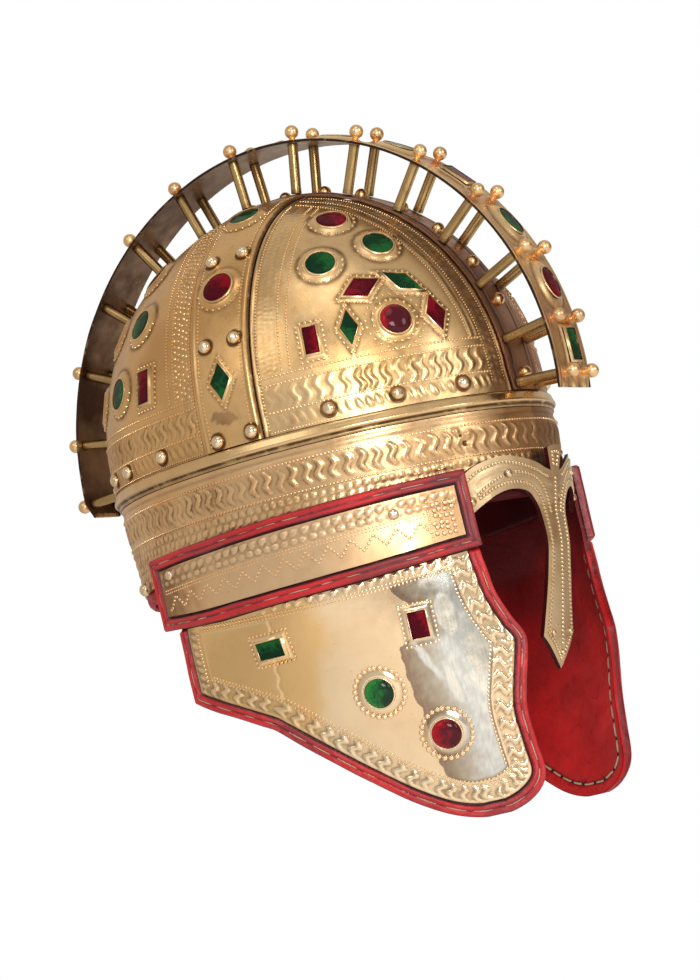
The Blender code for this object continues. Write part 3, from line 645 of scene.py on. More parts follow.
def outline_of(kind, half_length, half_width, grow):
    """A stone's outline, moved outwards."""
    if kind == "bar":
        a, b = half_length + grow, half_width + grow
        return np.array(((a, b), (-a, b), (-a, -b), (a, -b)))
    if kind == "lozenge":
        slope = math.hypot(half_length, half_width)
        a = half_length + min(grow * slope / half_width, grow * 1.7)
        b = half_width + min(grow * slope / half_length, grow * 1.7)
        return np.array(((a, 0), (0, b), (-a, 0), (0, -b)))
    turns = np.arange(36) * math.tau / 36
    return np.stack(((half_length + grow) * np.cos(turns), (half_width + grow) * np.sin(turns)), axis=1)


def frame_at(point, normal, up, tilt=0.0):
    """Origin and axes: z is the normal, and x is as near to up as it can be, then turned by the tilt."""
    z = unit(normal)
    y = unit(np.cross(z, up))
    x = np.cross(y, z)
    cos, sin = math.cos(math.radians(tilt)), math.sin(math.radians(tilt))
    return np.asarray(point), x * cos + y * sin, y * cos - x * sin, z


def add_stack(shape, frame, loops, closed=(True, True), dirt=0.0, stain_and_shading=0.0):
    """A body through outlines in a frame: each loop is its points and its height."""
    origin, x, y, z = frame
    count = len(loops[0][0])
    points = np.concatenate([origin + p[:, :1] * x + p[:, 1:] * y + z * height for p, height in loops])
    stain_and_shading = np.broadcast_to(stain_and_shading, len(points))
    marks = np.repeat(np.broadcast_to(dirt, len(loops)), count)
    faces = turned_out(points, grid_faces(len(loops), count, True), points.mean(axis=0))
    shape.add(points, faces, 0, marks, stain_and_shading)
    edge = np.arange(count)
    fan = np.stack((edge, np.roll(edge, -1), np.full(count, count)), axis=1)
    for end, part, way in ((0, slice(0, count), -1), (-1, slice(-count, None), 1)):
        if closed[end]:
            p, height = loops[end]
            middle = origin + p.mean(axis=0) @ np.stack((x, y)) + z * height
            spread = np.concatenate((points[part], [middle]))
            shape.add(spread, turned_out(spread, fan, middle - z * way), 0, marks[part][0],
                      np.append(stain_and_shading[part], stain_and_shading[part].mean()))


BEZELS = {
    "round": ((-0.5, 1.1), (-0.2, 1.75), (0.1, 1.9), (0.5, 1.8), (0.9, 1.2)),
    "dome": ((-0.4, 1.3), (-0.1, 1.8), (0.25, 1.9), (0.65, 1.6), (0.9, 0.7)),
    "bar": ((-0.25, 1.0), (0.0, 1.9), (0.25, 2.0), (0.8, 1.0), (1.3, 0.2)),
    "lozenge": ((-0.2, 0.9), (0.05, 1.8), (0.2, 1.85), (0.8, 0.9), (1.2, 0.0)),
}
GEM_LEVELS = {
    "round": ((-0.6, 0.2), (-0.25, 0.3), (-0.25, 1.2), (-1.0, 1.6), (-3.2, 1.8)),
    "dome": ((-0.6, 0.2), (-0.15, 0.3), (-0.15, 1.5), (-0.5, 2.3), (-1.5, 3.2), (-3.0, 3.9), (-5.0, 4.3)),
    "bar": ((-0.4, 0.2), (-0.1, 0.3), (-0.1, 1.1), (-1.2, 1.8), (-1.5, 1.85)),
    "lozenge": ((-0.4, 0.2), (-0.1, 0.3), (-0.1, 1.1), (-1.1, 1.7), (-1.4, 1.75)),
}

# Rings of dots round a stone: how far outside it, and how far apart, in millimetres.
RINGS = {
    "round": ((3.9, 3.9),), "dome": ((3.6, 3.6), (7.2, 3.9)), "bar": ((3.2, 2.9),), "lozenge": ((2.6, 3.3),),
}
# The swelling of the sheet round a stone: its height and how far it reaches, in millimetres.
COLLARS = {"round": (1.7, 4.5), "dome": (1.3, 4.0), "bar": (0.8, 2.6), "lozenge": (0.7, 2.2)}


def painted_lit_side(frame, outlines):
    """Painted light for each corner of a flat-cut stone, 0 to -1: the stone is painted brighter on one side.
    """
    turn = math.tau * scatter(frame[0] @ np.array((311.0, 173.0, 97.0)), 0.4)
    corners = np.concatenate(outlines)
    share = corners / np.abs(corners).max(axis=0) @ (math.cos(turn), math.sin(turn))
    return -np.clip(0.5 + 0.6 * share, 0, 1)


def set_stone(metal, gems, stone, size=1.0, rim=(1.6, 1.0, -0.7, -0.3, 0.6)):
    """A stone in its raised bezel: the metal gets the bezel and the gems get the stone."""
    gem, kind, frame, half_length, half_width = stone

    def loops(levels):
        return [(outline_of(kind, half_length, half_width, grow * MM * size), height * MM * size)
                for grow, height in levels]
    add_stack(metal, frame, loops(BEZELS[kind]), (False, False), np.array(rim))
    levels = loops(GEM_LEVELS[kind])
    # The gems' stain mark carries painted light: a glow on domes, and one brighter side on flat-cut stones.
    stain_and_shading = 1.0 if kind == "dome" else painted_lit_side(frame, [points for points, _ in levels])
    add_stack(gems[gem], frame, levels, stain_and_shading=stain_and_shading)


def bowl_frame(back, height, tilt, offset=0.0):
    inside = 1 - (back / HALF_LENGTH) ** 2 - (max(height, 0) / BOWL_HEIGHT) ** 2
    point = np.array((-HALF_WIDTH * math.sqrt(inside), back, height))
    normal = wall_normals(point)
    return frame_at(point + normal * offset, normal, (0, 0, 1), tilt)


def on_bowl(stones, offset=0.0):
    """Stones of a bowl table, each as gem, shape, frame, half length and half width."""
    return [(gem, kind, bowl_frame(back, high, tilt, offset), half_length, half_width)
            for gem, kind, back, high, half_length, half_width, tilt in stones]


def collars(points, placed, scale=1.0):
    """The swelling of the sheet round each stone."""
    total = np.zeros(len(points))
    for _, kind, (origin, x, y, z), half_length, half_width in placed:
        height, reach = COLLARS[kind]
        away = points - origin
        near = (np.linalg.norm(away, axis=1) < 0.03) & (away @ z > -0.008)
        d = outside(kind, away[near] @ x, away[near] @ y, half_length, half_width)
        fall = 1 - ease(d, 0.8 * MM, (reach + 1) * MM)
        total[near] += scale * height * MM * fall * ease(d, -1.0 * MM, 0.2 * MM)
    return total


def ring_of_beads(stone, gap, pitch):
    """Places round a stone, this far outside its outline, in the plane of its foot."""
    _, kind, (origin, x, y, _), half_length, half_width = stone
    loop = outline_of(kind, half_length, half_width, gap)
    loop = np.concatenate((loop, loop[:1]))
    places = at_places(loop, spaced(loop, pitch))
    return origin + places[:, :1] * x + places[:, 1:] * y


def set_on_bowl(shape, gems, stones, relief, offset=0.0, cut=0.2):
    """Stones with rings of dots round them, which round stones have only up to a share of their height."""
    for stone in stones:
        _, kind, frame, half_length, _ = stone
        set_stone(shape, gems, stone)
        for gap, pitch in RINGS[kind]:
            places = snap(ring_of_beads(stone, gap * MM, pitch * MM), offset)
            if kind == "round":
                places = places[(places - frame[0]) @ frame[1] < cut * half_length]
            add_beads(shape, *raised(places, relief(places)), 0.95 * MM, 0.8 * MM)


def red_and_green():
    return {"ruby": Shape(), "emerald": Shape()}


FOOT_ROWS = (("comma", 6.3, 7.0, 5.0, 0.55), ("stroke", 18.2, 12.2, 6.9, 0.65))
FOOT_BEADS = mm(1.1, 11.2, 25.4, 29.8)
SEAM_ROWS = (("comma", 6.0, 3.2, 3.1, 0.3), ("comma", 9.4, 3.2, 2.9, 0.3), ("comma", 12.8, 3.0, 3.2, 0.3))
SEAM_BEADS = mm(3.2, 15.6, 20.4)
RIDGE_ROWS = (
    ("comma", 5.6, 4.4, 4.4, 0.5), ("boss", 9.6, 3.2, 4.0, 0.35), ("line", 14.0, 0.6, 1, 0.55),
    ("line", 17.6, 0.6, 1, 0.55),
)
RIDGE_BEADS = mm(2.9, 12.2, 19.6)
LIP, BOSS = mm(1.0, 1.15)
RIVET = mm((3.5, -0.5), (3.55, 0.9), (3.2, 2.1), (2.3, 3.3), (1.1, 3.95), (0, 4.1))
LOW_RIVET = tuple((radius, height * 0.85) for radius, height in RIVET)


def ringed(points, places, reach=4.0 * MM):
    """A dark ring on the sheet close round the rivets."""
    near = np.min([np.linalg.norm(points - place, axis=1) for place in places], axis=0)
    return 2.2 * (1 - ease(near, reach, reach + 1.4 * MM))


FOOT_RIVETS = {
    "front": ((-0.0932, -0.0613), (-0.0730, -0.0911), (-0.0440, -0.1134)),
    "rear": ((-0.1013, 0.0397), (-0.0864, 0.0729), (-0.0712, 0.0921), (-0.035, 0.117)),
}
BAND_RIVETS = (
    (-0.0010, 0.0876), (-0.0192, 0.0880), (-0.0018, 0.0418), (-0.0193, 0.0422), (-0.0011, -0.0079),
    (-0.0202, -0.0075),
)


def octant(count):
    """Shares of three corners over a triangle of points, and the small triangles between them."""
    first, second = np.meshgrid(np.arange(count + 1), np.arange(count + 1), indexing="ij")
    number = np.full(first.shape, -1)
    used = first + second <= count
    number[used] = np.arange(used.sum())
    shares = np.stack((first, second, count - first - second), axis=2)[used] / count
    low = (first + second < count)[:count, :count]
    a, b, c = number[:-1, :-1][low], number[1:, :-1][low], number[:-1, 1:][low]
    full = (first + second < count - 1)[:count, :count]
    d, e, f = number[1:, :-1][full], number[1:, 1:][full], number[:-1, 1:][full]
    return shares, np.concatenate((np.stack((a, b, c), axis=1), np.stack((d, e, f), axis=1)))


def strike(start, ways):
    """Where lines from a point inside the bowl meet its face."""
    def reach(begin, way):
        a, b, c = (way * way).sum(1), (begin * way).sum(1), (begin * begin).sum(1) - 1
        return (-b + np.sqrt(b * b - a * c)) / a
    begin = np.broadcast_to(start / BOWL, ways.shape)
    length = reach(begin, ways / BOWL)
    for _ in range(4):
        height = start[2] + ways[:, 2] * length
        centre = -WALL_SHIFT * np.clip(-height / WALL_BREAK, 0, 1)
        level = np.stack(((start[0] + 0 * centre) / HALF_WIDTH, (start[1] - centre) / HALF_LENGTH), axis=1)
        length = np.where(height < 0, reach(level, ways[:, :2] / BOWL[:2]), length)
    return start + ways * length[:, None]


def plate_measures(points, front):
    """Distances from the ridge strip, the side band and the foot, and lengths along those three edges."""
    x, y, z = np.abs(points[:, 0]), points[:, 1], points[:, 2]
    edge = BAND_FRONT if front else BAND_BACK
    ridge = side_distance(x, HALF_WIDTH, RIDGE_HALF)
    seam = side_distance(-y if front else y, HALF_LENGTH, abs(edge))
    foot = foot_distance(z)
    swing = BOWL_HEIGHT * np.arctan2(z, -y)
    rise = SIDE_RADIUS * np.arctan2(z, x)
    around = ring_length(np.arctan2(x / HALF_WIDTH, -y / HALF_LENGTH))
    return ridge, seam, foot, swing, rise, around


def plate_relief(points, part):
    """How far the chased sheet stands out at points of a bowl plate."""
    front = part == "front"
    ridge, seam, foot, swing, rise, around = plate_measures(points, front)
    wear = 0.8 + 0.2 * ripple(points, 0.05, 3)
    faint = 0.35 + 0.75 * ease(seam, 15 * MM, 60 * MM) if front else 1.05
    low = chased(foot, around, FOOT_ROWS) * faint
    low = low * ease(seam, 3.5 * MM, 6 * MM) * ease(ridge, 12.5 * MM, 14 * MM)
    above = ease(foot, 30 * MM, 32 * MM)
    side = chased(seam, rise, SEAM_ROWS) * above * ease(ridge, 20 * MM, 22 * MM) * (0.5 if front else 0.4)
    ridge_lines = np.where(ridge < 12.5 * MM, ease(foot, 2 * MM, 4 * MM), above)
    top = chased(ridge, swing, RIDGE_ROWS) * ridge_lines * ease(seam, 2.5 * MM, 4 * MM)
    edges = LIP * swell(ridge - 1.2 * MM, 0.7 * MM)
    edges += (1.0 if front else 0.3) * MM * swell(seam - 1.3 * MM, 0.6 * MM) * ease(ridge, 0, 2 * MM)
    waves = 0.22 * MM * ripple(points, 0.045, 5) * ease(np.minimum(np.minimum(ridge, seam), foot), 0, 10 * MM)
    return (low + side + top) * wear + edges + waves + collars(points, on_bowl(PLATE_STONES[part]))


def up_side(distance, front, rises):
    """A line up a plate, this far from its edge at the side band."""
    back = side_reach(distance, HALF_LENGTH, abs(BAND_FRONT if front else BAND_BACK))
    scale = math.sqrt(1 - (back / HALF_LENGTH) ** 2)
    return np.stack((-HALF_WIDTH * scale * np.cos(rises), np.full(len(rises), -back if front else back),
                     BOWL_HEIGHT * scale * np.sin(rises)), axis=1)


def bead_rows(shape, part):
    """The dotted lines along a plate's edges, each with its least distances from ridge, seam and foot."""
    front, free = part == "front", -math.inf
    rows = []
    for distance in FOOT_BEADS:
        first = distance < 2 * MM
        height = float(foot_height(np.array(distance)))
        path = wall(np.linspace(0.02, math.pi - 0.02, 1500), height, 0.0)
        rows.append((path, ((3 if first else 13) * MM, 3.4 * MM, free), 0.8 if first else 1.0))
    swings = np.linspace(-0.11, math.pi + 0.11, 1500)
    for distance in RIDGE_BEADS:
        across = side_reach(distance, HALF_WIDTH, RIDGE_HALF)
        scale = math.sqrt(1 - (across / HALF_WIDTH) ** 2)
        path = np.stack((np.full(len(swings), -across), -HALF_LENGTH * scale * np.cos(swings),
                         BOWL_HEIGHT * scale * np.sin(swings)), axis=1)
        rows.append((path, (free, 3.4 * MM, (30 if distance > 15 * MM else 2.5) * MM), 0.75))
    for distance in SEAM_BEADS:
        path = up_side(distance, front, np.linspace(-0.11, math.pi / 2, 900))
        rows.append((path, (21 * MM, 0.0, (2 if distance == SEAM_BEADS[0] else 31) * MM), 0.9))
    for path, least, size in rows:
        path = snap(path)
        mask = np.all([measure > low for measure, low in zip(plate_measures(path, front), least)], axis=0)
        mask &= collars(path, on_bowl(PLATE_STONES[part])) < 0.05 * MM
        add_bead_path(shape, *raised(path, plate_relief(path, part)), mask, DOT_PITCH * size, DOT * size,
                      DOT * size)


def scattered_bosses(shape):
    """Small bosses struck close together beside the rear plate's edge at the side band."""
    pick = np.random.default_rng(13)
    for number, distance in enumerate(np.arange(5.6 * MM, 15 * MM, 2.9 * MM)):
        path = up_side(distance, False, np.arange(-0.1, 1.5, 3.4 * MM / SIDE_RADIUS) + number * 0.014)
        path = snap(path + pick.uniform(-0.55, 0.55, path.shape) * MM)
        ridge, seam, foot, *_ = plate_measures(path, False)
        path = path[(foot > 32 * MM) & (ridge > 22 * MM) & (seam > 0)]
        placed, out = raised(path, plate_relief(path, "rear"))
        for share in range(3):
            some = slice(share, None, 3)
            add_beads(shape, placed[some], out[some], BOSS * pick.uniform(0.8, 1.1), 0.55 * BOSS)


def bowl_plate(part, metal, left, studs):
    front = part == "front"
    edge = BAND_FRONT + TUCK if front else BAND_BACK - TUCK
    start = np.array((-(RIDGE_HALF - TUCK), edge, PLATE_FOOT))
    shares, faces = octant(198)
    ways = unit(np.sin(shares * math.pi / 2) * (-1, -1 if front else 1, 1))
    points = strike(start, ways)
    relief = plate_relief(points, part)
    normals = wall_normals(points)
    faces = turned_out(points, faces, (0, 0, 0))
    shape, gems = Shape(), red_and_green()
    ridge, seam, foot, *_ = plate_measures(points, front)
    stain_and_shading = 0.7 * (1 - ease(ridge, 9 * MM, 20 * MM)) + 0.35 * (1 - ease(foot, 0, 5 * MM))
    stain_and_shading += 0.5 * swell(np.linalg.norm(points - (-0.083, -0.068, 0.064), axis=1), 0.011) if front else 0.15
    stain_and_shading += 0.25 * ease(-points[:, 1], 0.085, 0.118)
    # Dark lines along the seams at the side band and the ridge strip: painted shade in the gaps between the
    # sheets.
    dirt = np.maximum(hollows(points, faces, relief), 1.6 * (1 - ease(np.minimum(seam, ridge), 0, 0.6 * MM)))
    rivets = [snap(np.array([(x, y, -0.0058)])) for x, y in FOOT_RIVETS[part]]
    dirt = np.maximum(dirt, ringed(points, rivets))
    shape.add(points + normals * relief[:, None], faces, 0, dirt, np.clip(stain_and_shading, 0, 1))
    add_skirt(shape, points, normals, relief, faces)
    bead_rows(shape, part)
    if not front:
        scattered_bosses(shape)
    set_on_bowl(shape, gems, on_bowl(PLATE_STONES[part]), lambda places: plate_relief(places, part))
    for place in rivets:
        add_turned(shape, place, wall_normals(place), LOW_RIVET, 20, 1)
    shape.make_pair(f"{part}_plate.chased", [metal, studs], "brass", (f"{part}_plate",), left=[left, studs])
    return gems


def add_skirt(shape, points, normals, relief, faces, depth=PLATE):
    """Turns the sheet's open edges down to the plate's back."""
    sides = faces.shape[1]
    every = np.concatenate([faces[:, [i, (i + 1) % sides]] for i in range(sides)])
    _, index, count = np.unique(np.sort(every, axis=1), axis=0, return_index=True, return_counts=True)
    ways = every[index[count == 1]]
    used, place = np.unique(ways, return_inverse=True)
    place = place.reshape(ways.shape)
    top = points[used] + normals[used] * relief[used][:, None]
    low = points[used] - normals[used] * depth
    n = len(used)
    quads = np.stack((place[:, 1], place[:, 0], place[:, 0] + n, place[:, 1] + n), axis=1)
    shape.add(np.concatenate((top, low)), quads, 0, np.concatenate((np.zeros(n), np.ones(n))))


def waved(points, size=0.2 * MM, length=0.04, seed=7):
    return size * ripple(points, length, seed)


BAND_BEADS = (BAND_FRONT + 4.8 * MM, BAND_BACK - 3.6 * MM)


# The middle of the grey scrape on the side band, its direction, and half its length and width.
SCRAPE, SCRAPE_WAY, SCRAPE_SIZE = (-0.1085, -0.0077, 0.0032), (0, 0.97, 0.26), (0.0088, 0.0040)


def band_relief(points):
    front, rear = points[:, 1] - BAND_FRONT, BAND_BACK - points[:, 1]
    edges = 0.5 * MM * (swell(front - 2.2 * MM, 0.7 * MM) + swell(rear - 1.2 * MM, 0.7 * MM))
    edges -= 1.0 * MM * (1 - ease(front, 0.6 * MM, 1.3 * MM))
    return edges + collars(points, on_bowl(PLATE_STONES["band"], BAND_OUT)) + waved(points, 0.2 * MM)


def side_band(metal, studs):
    share, back = np.meshgrid(np.linspace(0, 1, 200), np.linspace(BAND_FRONT, BAND_BACK, 53), indexing="ij")
    points = band_point(back, share, BAND_OUT).reshape(-1, 3)
    normals = wall_normals(points)
    relief = band_relief(points)
    faces = turned_out(points, grid_faces(*share.shape), (0, 0, 0))
    shape, gems = Shape(), red_and_green()
    _, way_y, way_z = SCRAPE_WAY
    mark = (points - SCRAPE) @ np.array(SCRAPE_WAY) / SCRAPE_SIZE[0]
    cross = (points - SCRAPE) @ np.array((0, -way_z, way_y)) / SCRAPE_SIZE[1]
    spot = 1 - ease(np.hypot(mark, cross) + 0.15 * ripple(points, 0.004, 2), 0.75, 1.0)
    stain_and_shading = 0.7 * ease(share.ravel(), 0.75, 1.0)
    # The band's turned-down front edge is darkened: painted shade in the gap under the front plate.
    seam = 1.6 * (1 - ease(back.ravel() - BAND_FRONT, 0.7 * MM, 1.3 * MM))
    dirt = np.maximum(hollows(points, faces, relief), seam)
    rivets = [snap(np.array([(-0.1, y, z)]) if z < 0 else np.array([bowl_frame(y, z, 0)[0]]), BAND_OUT)
              for y, z in BAND_RIVETS]
    dirt = np.maximum(dirt, ringed(points, rivets))
    shape.add(points + normals * relief[:, None], faces, 0, dirt, np.maximum(stain_and_shading, spot * 2))
    add_skirt(shape, points, normals, relief, faces)
    stones = on_bowl(PLATE_STONES["band"], BAND_OUT)
    for line in BAND_BEADS:
        path = band_point(line, np.linspace(0.01, 0.99, 700), BAND_OUT)
        clear = collars(path, stones) < 0.3 * MM
        add_bead_path(shape, *raised(path, band_relief(path)), clear, 2.1 * MM, 0.7 * MM)
    set_on_bowl(shape, gems, stones, band_relief, BAND_OUT, 0.1)
    for place in rivets:
        add_turned(shape, place, wall_normals(place), LOW_RIVET if place[0, 2] < 0 else RIVET, 20, 1)
    shape.make_pair("side_band.chased", [metal, studs], "brass", ("side_band",))
    return gems


# The places of the ridge's rivets, in degrees up from the front, and the lines struck beside them.
RIDGE_RIVET_SWINGS = (
    -1.5, 17.5, 29.0, 41.5, 53.0, 65.0, 75.5, 87.0, 97.0, 108.0, 119.0, 130.0, 141.0, 152.0, 163.0,
)
RIDGE_LINES = (("line", 8.4, 0.6, 1, 0.7), ("line", 12.6, 0.5, 1, 0.4))


def ridge_strip(metal, rivet):
    across, share = np.linspace(-RIDGE_HALF, RIDGE_HALF, 36), np.linspace(0, 1, 560)
    share, across = np.meshgrid(share, across, indexing="ij")
    points = ridge_point(across, share, RIDGE_OUT).reshape(-1, 3)
    normals = wall_normals(points)
    along = BOWL_HEIGHT * np.arctan2(points[:, 2], -points[:, 1])
    off = np.abs(points[:, 0])
    relief = chased(off, along, RIDGE_LINES) + waved(points, 0.25 * MM, 0.03)
    faces = turned_out(points, grid_faces(*share.shape), (0, 0, 0))
    shape = Shape()
    shape.add(points + normals * relief[:, None], faces, 0, hollows(points, faces, relief),
              0.4 + 0.4 * ripple(points, 0.03, 12))
    add_skirt(shape, points, normals, relief, faces, 1.4 * MM)
    turns = np.radians(RIDGE_RIVET_SWINGS)
    path = np.stack((0 * turns, -np.cos(turns), np.sin(turns)), axis=1)
    place = snap(path * 0.12, RIDGE_OUT)
    add_turned(shape, place, wall_normals(place), RIVET, 18, 1)
    shape.make("ridge_strip.chased", [metal, rivet], "dark_brass", ("ridge_strip",))


def swept_ring(shape, heights, offsets, count, dirt, stain_and_shading, waves):
    """A ring round the wall through a profile of heights and offsets, whose heights may follow the turn."""
    turns = np.arange(count) * math.tau / count
    rows = [wall(turns, height(turns) if callable(height) else height, offset)
            for height, offset in zip(heights, offsets)]
    points = np.concatenate(rows)
    points, _ = raised(points, waves(points))
    marks = np.repeat(np.broadcast_to(dirt, len(rows)), count)
    shape.add(points, grid_faces(len(rows), count, True)[:, ::-1], 0, marks, stain_and_shading)


# The rim bead's section: height and offset in millimetres, and the dirt mark, which paints shade into the
# crease below the roll and a paler highlight on the roll's top.
BEAD_PROFILE = (
    (-12.65, -0.4, 1.0), (-12.7, 0.9, 1.0), (-13.0, 1.5, 0.2), (-14.2, 1.85, 0), (-15.6, 2.15, 0),
    (-16.7, 2.6, -0.1), (-17.4, 2.65, -0.3), (-18.1, 2.3, 0), (-18.7, 1.5, 1.0), (-19.2, 0.9, 1.4),
    (-19.9, 0.85, 0.5), (-20.9, 0.8, 0.5), (-21.0, -0.4, 1.0),
)


def rim_bead(metal):
    shape = Shape()
    heights, offsets, dirt = (np.array(values) for values in zip(*BEAD_PROFILE))
    swept_ring(shape, heights * MM, offsets * MM, 420, dirt, 0.2, lambda p: waved(p, 0.12 * MM, 0.05, 9))
    shape.make("rim_bead.rolled", [metal], "brass", ("rim_bead",))


BROW_ROWS = (
    ("stroke", 14.2, 11.4, 7.4, 0.75), ("boss", 25.6, 3.6, 4.6, 0.65), ("comma", 30.3, 4.8, 4.8, 0.65),
    ("boss", 35.2, 3.6, 4.6, 0.6), ("comma", 40.0, 4.8, 4.6, 0.65),
)
BROW_BEADS = mm(6.4, 22.3)
# The turns of the upright dotted lines at the front.
BROW_COLUMNS = (0.745, 0.762, 0.634, 0.650)
# Two small pin holes in the front of the brow band, with the metal pushed up round them.
BROW_HOLES = ((-0.0506, -0.1106, -0.0368, 1.15 * MM), (-0.0528, -0.1099, -0.0329, 0.7 * MM))
BROW_DENTS = ((-0.0545, -0.1090, -0.0297, 0.9), (-0.0487, -0.1119, -0.0325, 1.3),
              (-0.0481, -0.1116, -0.0393, 1.1), (-0.0555, -0.1080, -0.0360, 0.6))
BAND_BALL = (-0.0739, 0.0868, -0.0672)


def brow_relief(points):
    turn = np.arctan2(-points[:, 0], -points[:, 1] * HALF_WIDTH / HALF_LENGTH)
    down = BROW_TOP - points[:, 2]
    foot = points[:, 2] - BROW_FOOT - BROW_FOOT_SLOPE * np.cos(turn)
    relief = chased(down, ring_length(turn), BROW_ROWS) * ease(foot, 0.8 * MM, 2.5 * MM)
    relief += 0.5 * MM * swell(foot - 0.8 * MM, 0.7 * MM)
    away = np.linalg.norm(points - BROW_HOLES[0][:3], axis=1)
    relief = relief * ease(away, 2 * MM, 5 * MM)
    for *spot, size in BROW_DENTS:
        relief += 0.8 * size * MM * swell(np.linalg.norm(points - spot, axis=1), 1.6 * MM)
    for *spot, size in BROW_HOLES:
        relief -= size * (1 - ease(np.linalg.norm(points - spot, axis=1), 0.6 * size, 1.5 * size))
    return relief * (0.85 + 0.15 * ripple(points, 0.04, 4)) - 0.35 * MM * swell(down - 2.8 * MM, 1.6 * MM)


def brow_band(metal, studs):
    turn, share = np.meshgrid(np.arange(900) * math.tau / 900, np.linspace(0, 1, 60))
    foot = BROW_FOOT + BROW_FOOT_SLOPE * np.cos(turn)
    points = wall(turn, BROW_TOP + (foot - BROW_TOP) * share, 0.0).reshape(-1, 3)
    relief = brow_relief(points) + waved(points, 0.2 * MM, 0.05, 8)
    normals = wall_normals(points)
    faces = turned_out(points, grid_faces(60, 900, True), (0, 0, -0.04))
    shape = Shape()
    stain_and_shading = 0.45 * ease(-points[:, 1], 0.10, 0.125) + 0.25 * ease(points[:, 1], 0.02, 0.1)
    # Browner right of the front middle, where the band turns away from the light: painted shade.
    stain_and_shading += 0.9 * ease(points[:, 0], -0.001, 0.002) * ease(-points[:, 1], 0.09, 0.11)
    dirt = hollows(points, faces, relief)
    # The pin holes are darkened inside: painted shade.
    for *spot, size in BROW_HOLES:
        away = np.linalg.norm(points - spot, axis=1)
        dirt = np.maximum(dirt, 2.0 * (1 - ease(away, 0.9 * size, 1.5 * size)))
    # A dark slit beside the nasal guard's tongue: a painted shadow in the gap.
    slit_shadow = ease(-points[:, 2], 0.043, 0.046) * (points[:, 1] < 0)
    slit_shadow *= 1 - ease(np.abs(points[:, 0]), 0.0085, 0.0100)
    shape.add(points + normals * relief[:, None], faces, 0, np.maximum(dirt, 1.5 * slit_shadow), stain_and_shading)
    add_skirt(shape, points, normals, relief, faces)
    downs = np.linspace(BROW_TOP - 23.5 * MM, BROW_FOOT + 2 * MM, 60)
    for path in [wall(turn, downs, 0.0) for turn in BROW_COLUMNS]:
        add_bead_path(shape, *raised(path, brow_relief(path)), True, DOT_PITCH, DOT, DOT)
    ball = np.array([BAND_BALL])
    add_turned(shape, ball, wall_normals(ball), LOW_RIVET, 18, 1)
    round_head = np.linspace(0, math.tau, 3000)
    for path in [wall(round_head, BROW_TOP - down, 0.0) for down in BROW_BEADS]:
        add_bead_path(shape, *raised(path, brow_relief(path)), True, DOT_PITCH, DOT, DOT)
    shape.make("brow_band.chased", [metal, studs], "brass", ("brow_band",))


# The lining's rolled foot: how far down from the brow band's foot, the face of the lining that it is measured
# from, and how far out from that face, in millimetres.
LINING_ROLL = (
    (0.6, LINING_OUT, 0.7), (1.8, LINING_OUT, 1.0), (3.2, LINING_OUT, 1.0), (5.2, LINING_OUT, 0.4),
    (6.4, LINING_OUT, -0.6), (6.2, LINING_IN, 0.2), (4.2, LINING_IN, 0.0),
)


def lining(leather):
    shape = Shape()

    def roll(down):
        return lambda turn: BROW_FOOT + BROW_FOOT_SLOPE * np.cos(turn) - down

    def folds(points):
        low = ease(-points[:, 2], 0.060, 0.066)
        return low * 0.3 * MM * ripple(points, 0.009, 21) + 0.25 * MM * ripple(points, 0.05, 22)
    caps = [BOWL_HEIGHT * math.sin(math.pi / 2 * i / 22) for i in range(22, -1, -1)]
    down = [min(height, BOWL_HEIGHT * 0.99999) for height in caps] + [-0.03]
    heights = down + [roll(0.0)] + [roll(fall * MM) for fall, *_ in LINING_ROLL] + [roll(0.0)] + down[::-1]
    outs = [LINING_OUT] * (len(down) + 1) + [face + out * MM for _, face, out in LINING_ROLL]
    outs += [LINING_IN] * (len(down) + 1)
    swept_ring(shape, heights, outs, 240, 0.0, 0.0, folds)
    # The lining is near black as painted shade inside the bowl; the stain mark gives it red leather only at
    # the back.
    shape.stain_and_shading = [ease(points[:, 1], 0.055, 0.075) for points in shape.points]
    shape.make("leather_lining.soft", [leather], "dark_leather", ("leather_lining",))


def solid_sheet(shape, outline, place, relief, low, grain, centre, stain_and_shading=0.0, rough=None, border=0.0,
                marks=None, edge_dirt=(0.3, 1.0), edge_slot=0):
    """A sheet of an outline with relief on its face, edges and a plain back. Place turns flat points and
    offsets into points. Relief gives offsets, from flat points, how far inside and how far along."""
    flat, faces = filled(outline, grain, rough, border)
    inside, along, _ = nearest(flat, outline)
    out = relief(flat, np.maximum(inside, 0), along)
    points = place(flat[:, 0], flat[:, 1], out)
    faces = turned_out(points, faces, centre)
    dirt = hollows(points, faces, out)
    if marks:
        dirt = np.maximum(dirt, marks(flat))
    shape.add(points, faces, 0, dirt, stain_and_shading(flat, points) if callable(stain_and_shading) else stain_and_shading)
    n = len(outline)
    front = place(outline[:, 0], outline[:, 1], relief(outline, np.zeros(n), along[:n]))
    both = np.concatenate((front, place(outline[:, 0], outline[:, 1], low)))
    shape.add(both, turned_out(both, edge_faces(n), both.mean(axis=0)), edge_slot, np.repeat(edge_dirt, n))
    flat, faces = filled(outline, grain * 4)
    points = place(flat[:, 0], flat[:, 1], low)
    shape.add(points, turned_out(points, faces, centre)[:, ::-1])


def edge_faces(count):
    """The faces between two loops of points, one after the other."""
    ring = np.arange(count)
    after = np.roll(ring, -1)
    return np.stack((ring, after, after + count, ring + count), axis=1)


def on_sheet(flat, place, relief, outline):
    """The points on a sheet's face over flat places."""
    inside, along, _ = nearest(flat, outline)
    return place(flat[:, 0], flat[:, 1], relief(flat, np.maximum(inside, 0), along))


def mirrored_outline(half):
    """A whole outline from its right half, which starts and ends in the middle."""
    half = np.asarray(half, float) * (-1, 1)
    return np.concatenate((half, half[-2:0:-1] * (-1, 1)))


